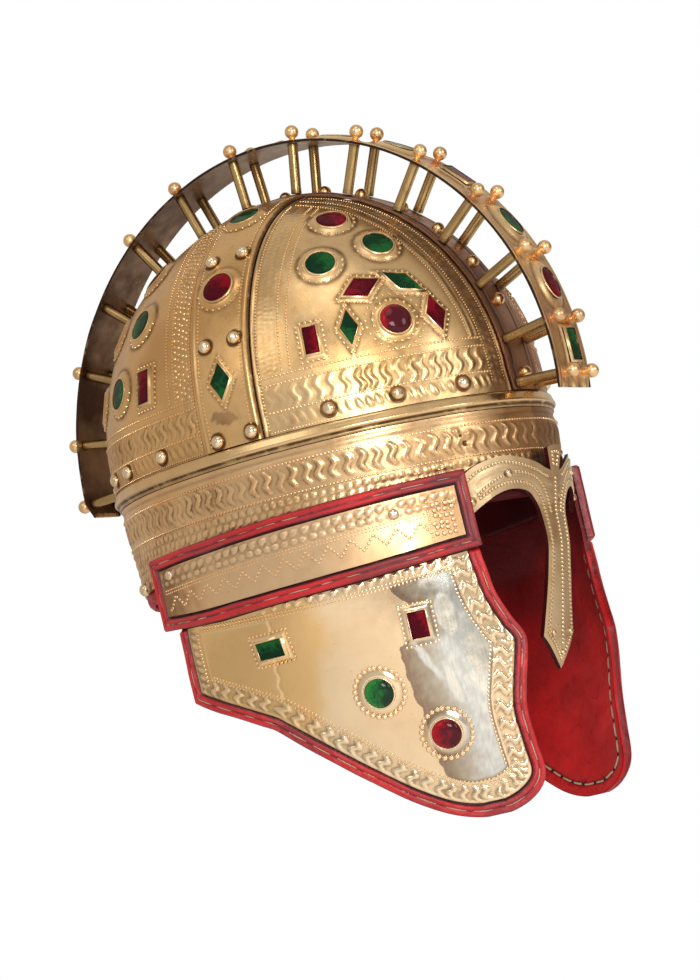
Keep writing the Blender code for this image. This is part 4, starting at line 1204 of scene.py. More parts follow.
def nasal_face(across, height, offset):
    """The brow guard's face, with its bar bowed a little further forward."""
    down, side = -np.asarray(height), np.abs(across)
    bow = 3.6 * MM * ease(down, 0.072, 0.098) * (1 - 0.4 * ease(down, 0.142, 0.158))
    return brow_face(across, height, offset + bow * (1 - ease(side, 0.024, 0.036)))


def nasal_relief(flat, inside, _):
    across, height = np.abs(flat[:, 0]), flat[:, 1]
    arches = ease(height, -0.082, -0.078)
    relief = NASAL_OUT + 0.10 * MM * swell(inside - 5.4 * MM, 0.45 * MM) * np.maximum(arches, 0.6)
    relief += 0.10 * MM * arches * swell(inside - 6.9 * MM, 0.45 * MM)
    relief += 0.10 * MM * (1 - arches) * swell(across - 2.2 * MM, 0.45 * MM)
    dent = np.hypot(flat[:, 0] - 0.0045, height + 0.0713)
    return relief - 0.8 * MM * swell(dent, 1.2 * MM) + waved(flat @ np.eye(2, 3), 0.10 * MM, 0.03, 33)


NASAL_BALLS = ((-0.0334, -0.0558), (-0.0540, -0.0675), (0.0334, -0.0558), (0.0540, -0.0675))
# The middle dotted line of the arches, from the outer end in to where the bar starts.
NASAL_LINE = (
    (0.0585, -0.0708), (0.0540, -0.0675), (0.0450, -0.0605), (0.0334, -0.0558), (0.0250, -0.0563),
    (0.0175, -0.0590), (0.0115, -0.0640), (0.0075, -0.0710), (0.0050, -0.0790),
)
NASAL_PINS = ((-0.0090, -0.1395), (0.0095, -0.1395), (0.0010, -0.1500))
NASAL_PIN = ((2.4, -0.5), (2.5, 0.5), (2.2, 1.3), (1.4, 2.0), (0, 2.3))


def nasal_guard(metal, studs, edge):
    shape = Shape()
    table = mirrored_outline(NASAL_OUTLINE)
    middle = len(NASAL_OUTLINE) - 1
    corners = {middle, *NASAL_CORNERS} | {len(table) - n for n in NASAL_CORNERS if 0 < n < middle}
    outline = curved(table, corners, 1.0 * MM)
    sheet = (nasal_face, nasal_relief, outline)

    def stain_and_shading(flat, _):
        # Browner over the upper middle, where the tongue lies in shade: painted shade.
        return 0.35 * ease(flat[:, 1], -0.066, -0.052) * (np.abs(flat[:, 0]) < 0.02)
    # The guard's cut edges take the near-black hide: painted shade on its sides.
    solid_sheet(shape, outline, nasal_face, nasal_relief, NASAL_OUT - NASAL_THICK, 0.9 * MM, (0, 0.5, -0.05),
                stain_and_shading, edge_dirt=(0.2, 0.8), edge_slot=2)
    rows = [pulled_in(outline, 3.4 * MM)]
    for side in (-1, 1):
        ends = np.array(NASAL_LINE) * (side, 1)
        row = curved(ends, (0, 8), 1 * MM)
        rows.append(row[:np.linalg.norm(row - ends[-1], axis=1).argmin()])
    for path in rows:
        mask = path[:, 1] > -0.154
        for x, z in NASAL_BALLS:
            mask &= np.hypot(path[:, 0] - x, path[:, 1] - z) > 3 * MM
        add_flat_beads(shape, path, sheet, mask, 2.1 * MM, 1.15 * MM, (0, -1, 0))
    line = np.stack((np.zeros(200), np.linspace(-0.060, -0.147, 200)), axis=1)
    add_flat_beads(shape, line, sheet, True, 2.1 * MM, 1.1 * MM, (0, -1, 0))
    for spots, size in ((NASAL_BALLS, 1.0), (NASAL_PINS, 0.72)):
        profile = [(radius * size * MM, height * size * MM) for radius, height in NASAL_PIN]
        ways = np.tile((0, -1.0, 0), (len(spots), 1))
        add_turned(shape, on_sheet(np.array(spots), *sheet), ways, profile, 16, 1)
    shape.make("nasal_guard.chased", [metal, studs, edge], "brass", ("nasal_guard",))


def add_flat_beads(shape, path, sheet, mask, pitch, radius, outward):
    """A dotted line that is given on the flat outline of a sheet: its place, its relief and its outline."""
    points = on_sheet(path, *sheet)
    normals = face_normals(sheet[0], path[:, 0], path[:, 1], outward)
    gaps = np.linalg.norm(np.diff(points, axis=0), axis=1) > 5 * MM
    add_bead_path(shape, points, normals, mask & ~np.append(gaps, False), pitch, radius)


HOOP_GEMS = (*("emerald bar", "ruby oval", "emerald oval", "ruby bar", "emerald oval", "ruby oval") * 2,
             "emerald bar")
BALL_PROFILE = [(NECK_RADIUS, -5.6 * MM), (NECK_RADIUS, -3.9 * MM)] + [
    (BALL_RADIUS * math.cos(math.radians(t)), BALL_RADIUS * math.sin(math.radians(t)))
    for t in (-62, -45, -28, -10, 8, 26, 44, 60, 76)] + [(0, BALL_RADIUS)]
NUB_PROFILE = mm((1.5, -6), (1.4, -4.4), (0.9, -3.9), (0, -3.8))


def hoop_half(angle):
    back = np.clip((angle - HOOP_END + 3.4) / 3.4, 0, 1)
    return HOOP_HALF - HOOP_CHAMFER * back


def hoop_stones():
    """The stones along the hoop, as gem, shape, frame, half length and half width."""
    placed = []
    for name, first, second in zip(HOOP_GEMS, STATIONS, STATIONS[1:]):
        gem, form = name.split()
        angle = (first + second) / 2
        out, up = hoop_point(angle, 0.0, 1.0), hoop_point(angle + 90, 0.0, 1.0)
        frame = frame_at(out * (HOOP_OUT + 1.3 * MM) + (HOOP_SHIFT, 0, 0), out, up)
        kind, size = ("bar", HOOP_BAR) if form == "bar" else ("round", HOOP_OVAL)
        placed.append((gem, kind, frame, *size))
    return placed


def crest_hoop():
    shape, gems = Shape(), red_and_green()
    angles = np.linspace(HOOP_START, HOOP_END, 560)
    outer, inner = np.linspace(-1, 1, 44), np.linspace(1, -1, 9)
    angle, share = np.meshgrid(angles, outer, indexing="ij")
    across = share * hoop_half(angle)
    points = hoop_point(angle, across, HOOP_OUT).reshape(-1, 3)
    out = hoop_point(angle, 0 * across, 1.0).reshape(-1, 3)
    edge = (hoop_half(angle) - np.abs(across)).ravel()
    relief = 0.5 * MM * swell(edge - 1.2 * MM, 0.7 * MM) + 0.3 * MM * swell(edge - 3.4 * MM, 0.5 * MM)
    flutes = np.clip(-4.4 - angle.ravel(), 0, 2.4) / 2.4
    relief += flutes * 1.1 * MM * np.cos(across.ravel() * math.tau / 0.0112)
    near_balls = np.min(np.abs(angle.ravel()[:, None] - np.array(STATIONS)), axis=1)
    balls = np.hypot(near_balls * math.radians(HOOP_OUT), np.abs(across.ravel()) - POST_SIDE)
    relief += 1.8 * MM * swell(balls, 2.9 * MM)
    relief += collars(points, hoop_stones(), 1.3) + waved(points, 0.25 * MM, 0.035, 14)
    relief += 0.12 * MM * ripple(points, 0.0035, 15) * ease(ripple(points, 0.03, 16), 0, 0.6)
    faces = turned_out(points, grid_faces(*angle.shape), (0, 0, 0))
    stain_and_shading = 0.15 + 0.8 * swell(near_balls, 2.6) * ease(ripple(points, 0.02, 18), -0.5, 0.3)
    shape.add(points + out * relief[:, None], faces, 0, hollows(points, faces, relief), stain_and_shading)
    angle, share = np.meshgrid(angles[::4], inner, indexing="ij")
    across = share * hoop_half(angle)
    points = hoop_point(angle, across, HOOP_IN).reshape(-1, 3)
    # The inner face is a darker brass, darker still towards the back and the front end: painted shade under
    # the hoop.
    stain_and_shading = 0.15 + 0.85 * ease(angle.ravel(), 88, 140) + 0.3 * ease(-angle.ravel(), -20, 0)
    shape.add(points, turned_out(points, grid_faces(*angle.shape), (0, 0, 0))[:, ::-1], 1, 0.0, stain_and_shading)
    hoop_rims(shape, angles)
    places, ways = [], []
    for number, station in enumerate(STATIONS):
        for side in (-1, 1):
            spot = hoop_point(station, side * POST_SIDE, BALL_CENTRE)
            way = hoop_point(station, 0.0, 1.0)
            if (number, side) == MISSING_BALL:
                add_turned(shape, spot, way, NUB_PROFILE, 12, 0)
            else:
                places.append(spot)
                ways.append(way)
    add_turned(shape, np.array(places), np.array(ways), BALL_PROFILE, 20, 2, 0.0, 0.1)
    for stone in hoop_stones():
        set_stone(shape, gems, stone, 0.85, (1.5, 1.2, 0.9, 0.0, 0.2))
    return shape, gems


def hoop_rims(shape, angles):
    """The hoop's two long edges and its two ends."""
    for side in (-1, 1):
        across = side * hoop_half(angles)
        points = np.concatenate((hoop_point(angles, across, HOOP_OUT), hoop_point(angles, across, HOOP_IN)))
        n = len(angles)
        ring = np.arange(n - 1)
        faces = np.stack((ring, ring + 1, ring + 1 + n, ring + n), axis=1)
        # The long edges are fully darkened: painted shade.
        shape.add(points, turned_out(points, faces, (0, 0, 0)), 0, 1.6, 0.3)
    shares = np.linspace(-1, 1, 44)
    for end in (HOOP_START, HOOP_END):
        across = shares * hoop_half(np.array(end))
        flute = 1.1 * MM * np.cos(across * math.tau / 0.0112) if end == HOOP_START else 0
        points = np.concatenate((hoop_point(end, across, HOOP_OUT + flute), hoop_point(end, across, HOOP_IN)))
        ring = np.arange(43)
        faces = np.stack((ring, ring + 1, ring + 45, ring + 44), axis=1)
        away = hoop_point((HOOP_START + HOOP_END) / 2, 0.0, HOOP_IN)
        shape.add(points, turned_out(points, faces, away), 0, 0.2, 0.3)


def post_foot(angle):
    top = BOWL_HEIGHT + RIDGE_OUT
    shift = WALL_SHIFT if angle < 0 else 0
    return top / math.cos(math.radians(max(-angle, angle - 180, 0))) + GAP + shift / 2


def crest_posts(metal):
    for number, angle in enumerate(STATIONS, start=1):
        foot, reach = post_foot(angle), HOOP_IN - GAP
        wide, narrow = POST_RADIUS, POST_RADIUS * 0.97
        profile = ((0, foot), (wide, foot), (wide, foot + 1 * MM), (narrow, foot + 3 * MM),
                   (narrow, reach - 2 * MM), (wide, reach - 0.6 * MM), (wide, reach),
                   (0, reach))
        for side, word in ((-1, "right"), (1, "left")):
            shape = Shape()
            spread, quads, triangles, heights = revolve(np.array((side * POST_SIDE, 0, 0)),
                                                        hoop_point(angle, 0.0, 1.0), profile, 24)
            dirt = 1 - ease(heights, foot, foot + 5 * MM) + ease(heights, reach - 3 * MM, reach)
            shape.add(spread, quads, 0, dirt * 0.8, 0.2)
            shape.add(spread, triangles, 0, 0.8)
            node = f"crest_post_{number:02d}_{word}"
            shape.make(node + ".tube", [metal], "brass", (node,), sharp=40)


CHEEK = on_flap(CHEEK_OUTLINE)
CHEEK_CURVE = curved(CHEEK, CHEEK_CORNERS, 0.9 * MM)
CHEEK_CURVE[:, 1] = np.maximum(CHEEK_CURVE[:, 1], -0.2253)
STRIP = on_flap(STRIP_OUTLINE)
CHEEK_THREAD = 3.2 * MM


def cheek_top(arc):
    """The height of the cheek plate's top edge, just under the side strip."""
    foot = STRIP[[5, 4, 3, 2]]
    return np.interp(arc, foot[:, 0], foot[:, 1]) - 0.9 * MM


def cheek_line(arc):
    """The height of the dotted lines below the plate's top row."""
    return -0.0990 - 0.0032 * (1 - ((arc - 0.150) / 0.061) ** 2)


def roll(distance, centre, half, height):
    return height * np.sqrt(np.clip(1 - ((distance - centre) / half) ** 2, 0, 1))


def two_rolls(inside, along, height, seed):
    """A folded leather edge: two soft rolls with the seam sunk between them."""
    wander = 0.25 * MM * np.sin(along / 0.011 + seed) + 0.15 * MM * np.sin(along / 0.0043 + seed)
    near = inside + wander
    rolls = np.maximum(roll(near, 1.75 * MM, 2.1 * MM, 1), roll(near, 4.75 * MM, 1.75 * MM, 0.92))
    return height * np.maximum(rolls, 0.35 * (inside < 6.2 * MM))


def cheek_leather_relief(flat, inside, along):
    below = ease(cheek_top(flat[:, 0]) - flat[:, 1], -0.3 * MM, 1.5 * MM)
    return two_rolls(inside, along, CHEEK_RIM_OUT, 1) * below


def cheek_inner_relief(flat, inside):
    below = ease(-flat[:, 1], 0.085, 0.095)
    rim = roll(inside, 2.7 * MM, 3.0 * MM, 1.0 * MM) - 0.25 * MM * swell(inside - 6.2 * MM, 1 * MM)
    return -LEATHER - below * rim


def leather_wear_and_shade(flat, outline):
    """The dark skirt along the inside of a folded edge, painted shade where the fold meets the plate, and
    darker worn patches along the edge.
    """
    inside, along, _ = nearest(flat, outline)
    return 0.9 * ease(inside, 5.2 * MM, 6.2 * MM) + 0.35 * ease(np.sin(along / 0.017), 0.3, 0.9)


def stitches(shape, outline, place, distance, out, pitch, outward, slot, keep=None, seed=3, size=0.42 * MM):
    """Long stitches in a groove, with a near-black dot between each two that is painted shade for a hole."""
    pick = np.random.default_rng(seed)
    path = pulled_in(outline, distance)
    path = np.concatenate((path, path[:1]))
    if keep is not None:
        path = path[keep(path)]
    points = place(path[:, 0], path[:, 1], out)
    normals = face_normals(place, path[:, 0], path[:, 1], outward)
    steps = np.linalg.norm(np.diff(points, axis=0), axis=1)
    run = np.concatenate(([0], np.cumsum(steps)))
    index = np.arange(len(points))
    start = 2 * MM
    while start < run[-1] - pitch:
        length = pitch * pick.uniform(0.9, 1.1)
        marks = np.interp(np.linspace(start + 0.9 * MM, start + length - 0.9 * MM, 9), run, index)
        stretch = at_places(points, marks)
        if np.linalg.norm(np.diff(stretch, axis=0), axis=1).max() < 4 * MM:
            sag = np.sin(np.linspace(0, math.pi, 9))[:, None] * 0.25 * MM
            add_stitch(shape, stretch + at_places(normals, marks) * (sag - 0.1 * MM), size, slot)
            hole = np.interp([start], run, index)
            add_turned(shape, at_places(points, hole), at_places(normals, hole),
                       ((0.85 * MM, 0.25 * MM), (0, 0.3 * MM)), 10, slot + 1, 1.0)
        start += length


# A point inside each flap, away from which its faces are turned.
CHEEK_MIDDLE, STRIP_MIDDLE = (0, 0, -0.14), (0, 0, -0.075)


def cheek_leather(leather, thread, hole, inner):
    shape = Shape()
    solid_sheet(shape, CHEEK_CURVE, flap, cheek_leather_relief, -LEATHER * 0.5, 0.7 * MM, CHEEK_MIDDLE,
                lambda flat, _: leather_wear_and_shade(flat, CHEEK_CURVE), 4 * MM, 7.4 * MM)
    flat, faces = filled(CHEEK_CURVE, 0.9 * MM, 2.4 * MM, 7 * MM)
    inside, _, _ = nearest(flat, CHEEK_CURVE)
    out = cheek_inner_relief(flat, np.maximum(inside, 0))
    points = flap(flat[:, 0], flat[:, 1], out)
    points += waved(points, 0.3 * MM, 0.03, 31)[:, None] * np.array((1, 0, 0)) * (inside > 4 * MM)[:, None]
    # The inner face is painted darker towards the top: painted shade under the bowl, carried in the stain
    # mark.
    shade = 1 - ease(-points[:, 2] - 0.3 * points[:, 1] + 0.008 * ripple(points, 0.04, 35), 0.095, 0.190)
    dirt = hollows(points, faces, -out)
    shape.add(points, turned_out(points, faces, CHEEK_MIDDLE)[:, ::-1], 3, dirt, shade)
    n = len(CHEEK_CURVE)
    _, along, _ = nearest(CHEEK_CURVE, CHEEK_CURVE)
    front = cheek_leather_relief(CHEEK_CURVE, np.zeros(n), along)
    back = cheek_inner_relief(CHEEK_CURVE, np.zeros(n))
    both = np.concatenate([flap(CHEEK_CURVE[:, 0], CHEEK_CURVE[:, 1], out) for out in (front, back)])
    # The edge is darkened near its top: painted shade under the bowl.
    dirt = 0.1 + 0.8 * ease(both[:, 2], -0.100, -0.096)
    shape.add(both, turned_out(both, edge_faces(n), both.mean(axis=0)), 4, dirt)
    away = (-1, -0.6, 0)
    stitches(shape, CHEEK_CURVE, flap, CHEEK_THREAD, 0.6 * CHEEK_RIM_OUT, 15.5 * MM, away, 1,
             lambda path: path[:, 1] < cheek_top(path[:, 0]) - 2 * MM)
    stitches(shape, CHEEK_CURVE, flap, 6.4 * MM, -LEATHER - 0.15 * MM, 9 * MM, (1, 0.6, 0), 1,
             lambda path: path[:, 1] < -0.093, 5, 0.6 * MM)
    shape.make_pair("cheek_leather.stitched", [leather, thread, hole, inner, leather], "red_leather",
                    ("cheek_leather",), left=[leather, thread, hole, inner, inner])


# The points of the curve where its back and bottom edges end.
BACK_END, BOTTOM_END = (int(np.linalg.norm(CHEEK_CURVE - CHEEK[n], axis=1).argmin()) for n in (2, 11))
CHEEK_EDGE = ("line", 0.9, 0.6, 1, 0.4)
CHEEK_SIDE_ROWS = (
    (("comma", 3.8, 4.6, 4.2, 0.7), CHEEK_EDGE), (("stroke", 5.0, 7.4, 7.3, 1.1), CHEEK_EDGE),
    (("stroke", 5.4, 8.6, 7.1, 1.1), CHEEK_EDGE, ("line", 10.4, 0.6, 1, 0.35)),
)
CHEEK_SIDE_BEADS = mm((6.6,), (9.3, 11.0), (12.0,))
CHEEK_TOP_ROWS = (("comma", 4.2, 6.6, 6.0, 1.1),)
CHEEK_TOP_REACH, CHEEK_TOP_BEADS = 9.2 * MM, mm(8.4, 10.1)
# A crack across the cheek plate, from its foot up, as places along the flap and heights.
CRACK = ((-0.1390, 0.1836), (-0.1210, 0.1804), (-0.1133, 0.1791), (-0.1019, 0.1761))


def cheek_plate_outline():
    """The plate's outline: the leather's, further in, and cut level under the side strip."""
    path = pulled_in(CHEEK_CURVE, CHEEK_RIM + 0.9 * MM)
    low = path[:, 1] < cheek_top(path[:, 0])
    start = int(np.flatnonzero(low & ~np.roll(low, 1))[0])
    path, low = np.roll(path, -start, axis=0), np.roll(low, -start)
    path = path[low]
    arcs = np.linspace(path[-1, 0], path[0, 0], int(abs(path[0, 0] - path[-1, 0]) / (0.9 * MM)))
    return np.concatenate((path, np.stack((arcs, cheek_top(arcs)), axis=1)))


CHEEK_PLATE = cheek_plate_outline()


def flap_stones():
    placed = []
    for gem, kind, back, height, half_length, half_width, tilt in CHEEK_STONES:
        arc = float(flap_arc(back, height))
        point = flap(arc, height, CHEEK_PLATE_OUT)
        normal = face_normals(flap, np.array(arc), np.array(height), (-1, -0.3, 0))
        placed.append((gem, kind, frame_at(point, normal, (0, 0, 1), tilt), half_length, half_width))
    return placed


def cheek_sides(flat):
    """Which edge is nearest (0 back, 1 bottom or 2 front), how far in from it, and how far along it."""
    inside, along, piece = nearest(flat, CHEEK_CURVE)
    which = np.where(piece < BACK_END, 0, np.where(piece < BOTTOM_END, 1, 2))
    return which, inside - CHEEK_RIM - 0.9 * MM, along


def cheek_plate_relief(flat, *_):
    which, edge, run = cheek_sides(flat)
    below = cheek_top(flat[:, 0]) - flat[:, 1]
    top = cheek_line(flat[:, 0]) + CHEEK_TOP_REACH - flat[:, 1]
    relief = chased(top, flat[:, 0], CHEEK_TOP_ROWS) * ease(edge, 8 * MM, 10 * MM)
    relief = relief * ease(below, 0.4 * MM, 1.5 * MM)
    for side, rows in enumerate(CHEEK_SIDE_ROWS):
        relief += np.where(which == side, chased(edge, run, rows), 0) * ease(below, 1.0 * MM, 3 * MM)
    points = flap(flat[:, 0], flat[:, 1], CHEEK_PLATE_OUT)
    relief += collars(points, flap_stones())
    heights, arcs = zip(*CRACK)
    torn = flat[:, 0] - np.interp(flat[:, 1], heights, arcs) - 0.5 * MM * np.sin(flat[:, 1] / 0.0013)
    step = 0.35 * MM * ease(torn, -0.4 * MM, 0.4 * MM) * ease(edge, 9 * MM, 10 * MM)
    relief += step * ease(top, 10.5 * MM, 11.5 * MM)
    return CHEEK_PLATE_OUT + relief + waved(points, 0.35 * MM, 0.06, 17) * ease(edge, 6 * MM, 16 * MM)


# Where the painted reflection begins: the front edge of the plain polished brass, as heights with how far
# back it lies.
REFLECTION_EDGE = (
    (-0.184, -0.0672), (-0.165, -0.0695), (-0.160, -0.0664), (-0.1445, -0.0660), (-0.133, -0.0684),
    (-0.128, -0.0785), (-0.112, -0.0785), (-0.107, -0.0738), (-0.101, -0.0712),
)
# Two pale streaks of painted reflection on the silver part, each from one place to another, as how far back
# and how high.
PALE_REFLECTION_STREAKS = (((-0.0765, -0.1350), (-0.0805, -0.1470)), ((-0.0862, -0.1510), (-0.0868, -0.1620)))


def cheek_reflection_and_tarnish(flat, points):
    """Painted reflections on the polished plate: 0 on clean brass, then from brown through olive and silver
    to cream at 1. Below 0 it is tarnished.
    """
    back, height = points[:, 1], points[:, 2]
    rough = 0.9 * MM * ripple(points, 0.020, 41) + 0.5 * MM * ripple(points, 0.006, 42)
    past = np.interp(height, *zip(*REFLECTION_EDGE)) - back + rough
    silver_reflection = 0.12 * ease(past, 0, 0.9 * MM) + 0.22 * ease(past, 2 * MM, 10 * MM)
    silver_reflection += 0.46 * ease(past, 6 * MM, 25 * MM)
    cloudy = 0.07 * ripple(points, 0.010, 43) + 0.05 * ripple(points, 0.004, 44)
    silver_reflection += cloudy * ease(past, 1 * MM, 5 * MM)
    pale = 1 - ease(np.hypot(back + 0.0925, (height + 0.1205) / 2.5) + 0.5 * rough, 0.0036, 0.0048)
    for (y0, z0), (y1, z1) in PALE_REFLECTION_STREAKS:
        share = np.clip((height - z0) / (z1 - z0), -0.2, 1.2)
        streak = np.hypot(back - y0 - share * (y1 - y0), (height - z0 - share * (z1 - z0)) / 2)
        pale = np.maximum(pale, 0.8 * (1 - ease(streak + rough, 0.0006, 0.0024)))
    _, edge, _ = cheek_sides(flat)
    top = cheek_line(flat[:, 0]) + CHEEK_TOP_REACH - flat[:, 1]
    inside = ease(edge, 10.5 * MM, 13 * MM) * ease(top, 9 * MM, 11 * MM)
    silver_reflection += 0.15 * ease(past, 26 * MM, 33 * MM) * ease(height, -0.190, -0.176)
    silver_reflection = (silver_reflection + pale * (0.97 - silver_reflection)) * inside
    shade = (1 - ease(top + 3 * rough, 0, 7 * MM)) * ease(back, 0.0, 0.04)
    shade += 0.8 * (1 - ease(edge + 3 * rough, 0, 6 * MM)) * (back > 0.04)
    return silver_reflection - 0.7 * shade


def cheek_plate(metal):
    shape, gems = Shape(), red_and_green()
    solid_sheet(shape, CHEEK_PLATE, flap, cheek_plate_relief, CHEEK_PLATE_OUT - PLATE, 0.8 * MM,
                CHEEK_MIDDLE, cheek_reflection_and_tarnish)
    sheet, away = (flap, cheek_plate_relief, CHEEK_PLATE), (-1, -0.3, 0)
    for side, distances in enumerate(CHEEK_SIDE_BEADS):
        for distance in distances:
            path = pulled_in(CHEEK_CURVE, distance + CHEEK_RIM + 0.9 * MM)
            which, _, _ = cheek_sides(path)
            mask = (which == side) & (path[:, 1] < cheek_line(path[:, 0]) - (1 if side < 2 else -4) * MM)
            add_flat_beads(shape, path, sheet, mask, DOT_PITCH, DOT, away)
    arcs = np.linspace(CHEEK_PLATE[:, 0].min(), CHEEK_PLATE[:, 0].max(), 400)
    for distance in CHEEK_TOP_BEADS:
        path = np.stack((arcs, cheek_line(arcs) + CHEEK_TOP_REACH - distance), axis=1)
        _, edge, _ = cheek_sides(path)
        add_flat_beads(shape, path, sheet, edge > 10 * MM, DOT_PITCH, DOT, away)
    for stone in flap_stones():
        _, kind, frame, *_ = stone
        set_stone(shape, gems, stone)
        places = ring_of_beads(stone, *(mm(3.7, 2.5) if kind == "bar" else mm(5.3, 3.2)))
        places = places + surface_drop(places, frame)
        out = np.tile(frame[3], (len(places), 1))
        if kind == "bar":
            add_beads(shape, places, out, 0.95 * MM, 0.9 * MM)
        else:
            add_turned(shape, places, out, PETAL, 10)
    shape.make_pair("cheek_plate.chased", [metal], "brass", ("cheek_plate",))
    return gems


def surface_drop(places, frame):
    """How far the curved plate falls away below a flat ring round a stone."""
    away = places - frame[0]
    sideways = away @ unit(np.cross(frame[3], (0, 0, 1)))
    return -(sideways ** 2 / (2 * FLAP_ARC))[:, None] * frame[3]


PETAL = mm((1.55, -0.5), (1.5, 0.3), (1.15, 0.85), (0.6, 1.15), (0, 1.25))


STRIP_CURVE = curved(STRIP, STRIP_CORNERS, 0.9 * MM)
STRIP_PLATE = pulled_in(STRIP_CURVE, STRIP_RIM + 0.9 * MM)


def strip_leather_relief(_, inside, along):
    rolls = two_rolls(inside, along, STRIP_RIM_OUT - STRIP_FLOOR, 5)
    return STRIP_FLOOR + rolls * (inside < 6.7 * MM)


def strip_leather(leather, thread, hole):
    shape = Shape()
    ends = STRIP[[0, 1, 2, 5]]

    def mitres(flat):
        total = 0
        for corner in ends:
            way = unit(np.sign(ends.mean(axis=0) - corner))
            off = (flat - corner) @ (-way[1], way[0])
            total = total + swell(off, 0.4 * MM) * (np.linalg.norm(flat - corner, axis=1) < 9.5 * MM)
        return total

    def wear(flat, points):
        return leather_wear_and_shade(flat, STRIP_CURVE) + 0.55 * ease(-points[:, 1], 0.0985, 0.1040)
    solid_sheet(shape, STRIP_CURVE, flap, strip_leather_relief, GAP, 0.7 * MM, STRIP_MIDDLE, wear, 4 * MM,
                7.4 * MM, mitres)
    groove = STRIP_FLOOR + 0.55 * (STRIP_RIM_OUT - STRIP_FLOOR)
    stitches(shape, STRIP_CURVE, flap, CHEEK_THREAD, groove, 15.5 * MM, STRIP_WAY, 1, None, 8)
    shape.make_pair("side_strip_leather.stitched", [leather, thread, hole], "red_leather",
                    ("side_strip_leather",))


# Roughly the way out from the side strip.
STRIP_WAY = (-1, -0.2, 0)


def strip_down(flat):
    """The distance down from the strip plate's top edge."""
    first, last = STRIP[0], STRIP[1]
    top = first[1] + (flat[:, 0] - first[0]) / (last[0] - first[0]) * (last[1] - first[1])
    return top - STRIP_RIM - 0.9 * MM - flat[:, 1]


STRIP_ROWS = (("comma", 3.2, 4.2, 5.2, 0.6), ("boss", 7.6, 3.0, 4.6, 0.55))
STRIP_BEADS = mm(11.0, 12.6)
ZIGZAG_TOP, ZIGZAG_FOOT, ZIGZAG_PITCH = mm(14.8, 21.8, 11)


def strip_plate_relief(flat, inside, _):
    down = strip_down(flat)
    relief = chased(down, flat[:, 0], STRIP_ROWS) * ease(inside, 0.8 * MM, 2.2 * MM)
    relief = np.minimum(relief, 0.5 * MM)
    points = flap(flat[:, 0], flat[:, 1], STRIP_PLATE_OUT)
    return STRIP_PLATE_OUT + relief + waved(points, 0.2 * MM, 0.04, 19)


def strip_plate(metal, studs):
    shape = Shape()
    front, back = STRIP_PLATE[:, 0].min(), STRIP_PLATE[:, 0].max()
    sheet = (flap, strip_plate_relief, STRIP_PLATE)

    def tarnish(flat, points):
        return 1 - ease(back - flat[:, 0] + 6 * MM * ripple(points, 0.008, 51), 3 * MM, 32 * MM)
    solid_sheet(shape, STRIP_PLATE, flap, strip_plate_relief, STRIP_PLATE_OUT - PLATE, 0.8 * MM,
                STRIP_MIDDLE, tarnish)
    arcs = np.linspace(front + 3 * MM, back - 3 * MM, 500)
    top = -strip_down(np.stack((arcs, 0 * arcs), axis=1))
    for distance in STRIP_BEADS:
        path = np.stack((arcs, -(distance + top)), axis=1)
        add_flat_beads(shape, path, sheet, True, 1.9 * MM, 0.62 * MM, STRIP_WAY)
    zigzag(shape, front + 16 * MM, back - 4 * MM)
    end_block(shape)
    for rivet in (0.049, -0.080):
        arc = float(flap_arc(rivet, -0.067))
        spot = np.array(((arc, -0.0665),))
        place = flap(spot[:, 0], spot[:, 1], STRIP_PLATE_OUT)
        out = face_normals(flap, spot[:, 0], spot[:, 1], STRIP_WAY)
        add_turned(shape, place, out, [(r * 0.8, h * 0.5) for r, h in RIVET], 16, 1)
    shape.make_pair("side_strip_plate.chased", [metal, studs], "brass", ("side_strip_plate",))


def strip_marks(shape, flat, radius):
    """Single punched marks at flat places on the strip plate."""
    inside, _, _ = nearest(flat, STRIP_PLATE)
    flat = flat[inside > 1.2 * MM]
    points = on_sheet(flat, flap, strip_plate_relief, STRIP_PLATE)
    out = face_normals(flap, flat[:, 0], flat[:, 1], STRIP_WAY)
    add_beads(shape, points, out, radius, radius * 0.7)


def zigzag(shape, first, last):
    """A plain zigzag of punched marks along the lower half of the strip plate."""
    arcs = np.arange(first, last, 0.5 * MM)
    phase = (arcs - first) / ZIGZAG_PITCH
    swing = np.abs((phase % 1) * 2 - 1)
    level = strip_down(np.stack((arcs, 0 * arcs), axis=1))
    path = np.stack((arcs, level - ZIGZAG_TOP - swing * (ZIGZAG_FOOT - ZIGZAG_TOP)), axis=1)
    strip_marks(shape, at_places(path, spaced(path, 2.2 * MM)), 0.95 * MM)


def end_block(shape):
    """The close-set bosses at the strip plate's front end, beyond an upright dotted line."""
    first = float(flap_arc(-0.0935, -0.07))
    column = np.stack((np.full(12, first), np.linspace(-0.062, -0.086, 12)), axis=1)
    strip_marks(shape, column, DOT)
    across, down = np.meshgrid(first - np.arange(2.6, 14, 3.0) * MM, -0.066 - np.arange(7) * 3.0 * MM)
    pick = np.random.default_rng(4).normal(size=(across.size, 2)) * 0.35 * MM
    strip_marks(shape, np.stack((across.ravel(), down.ravel()), axis=1) + pick, 1.5 * MM)


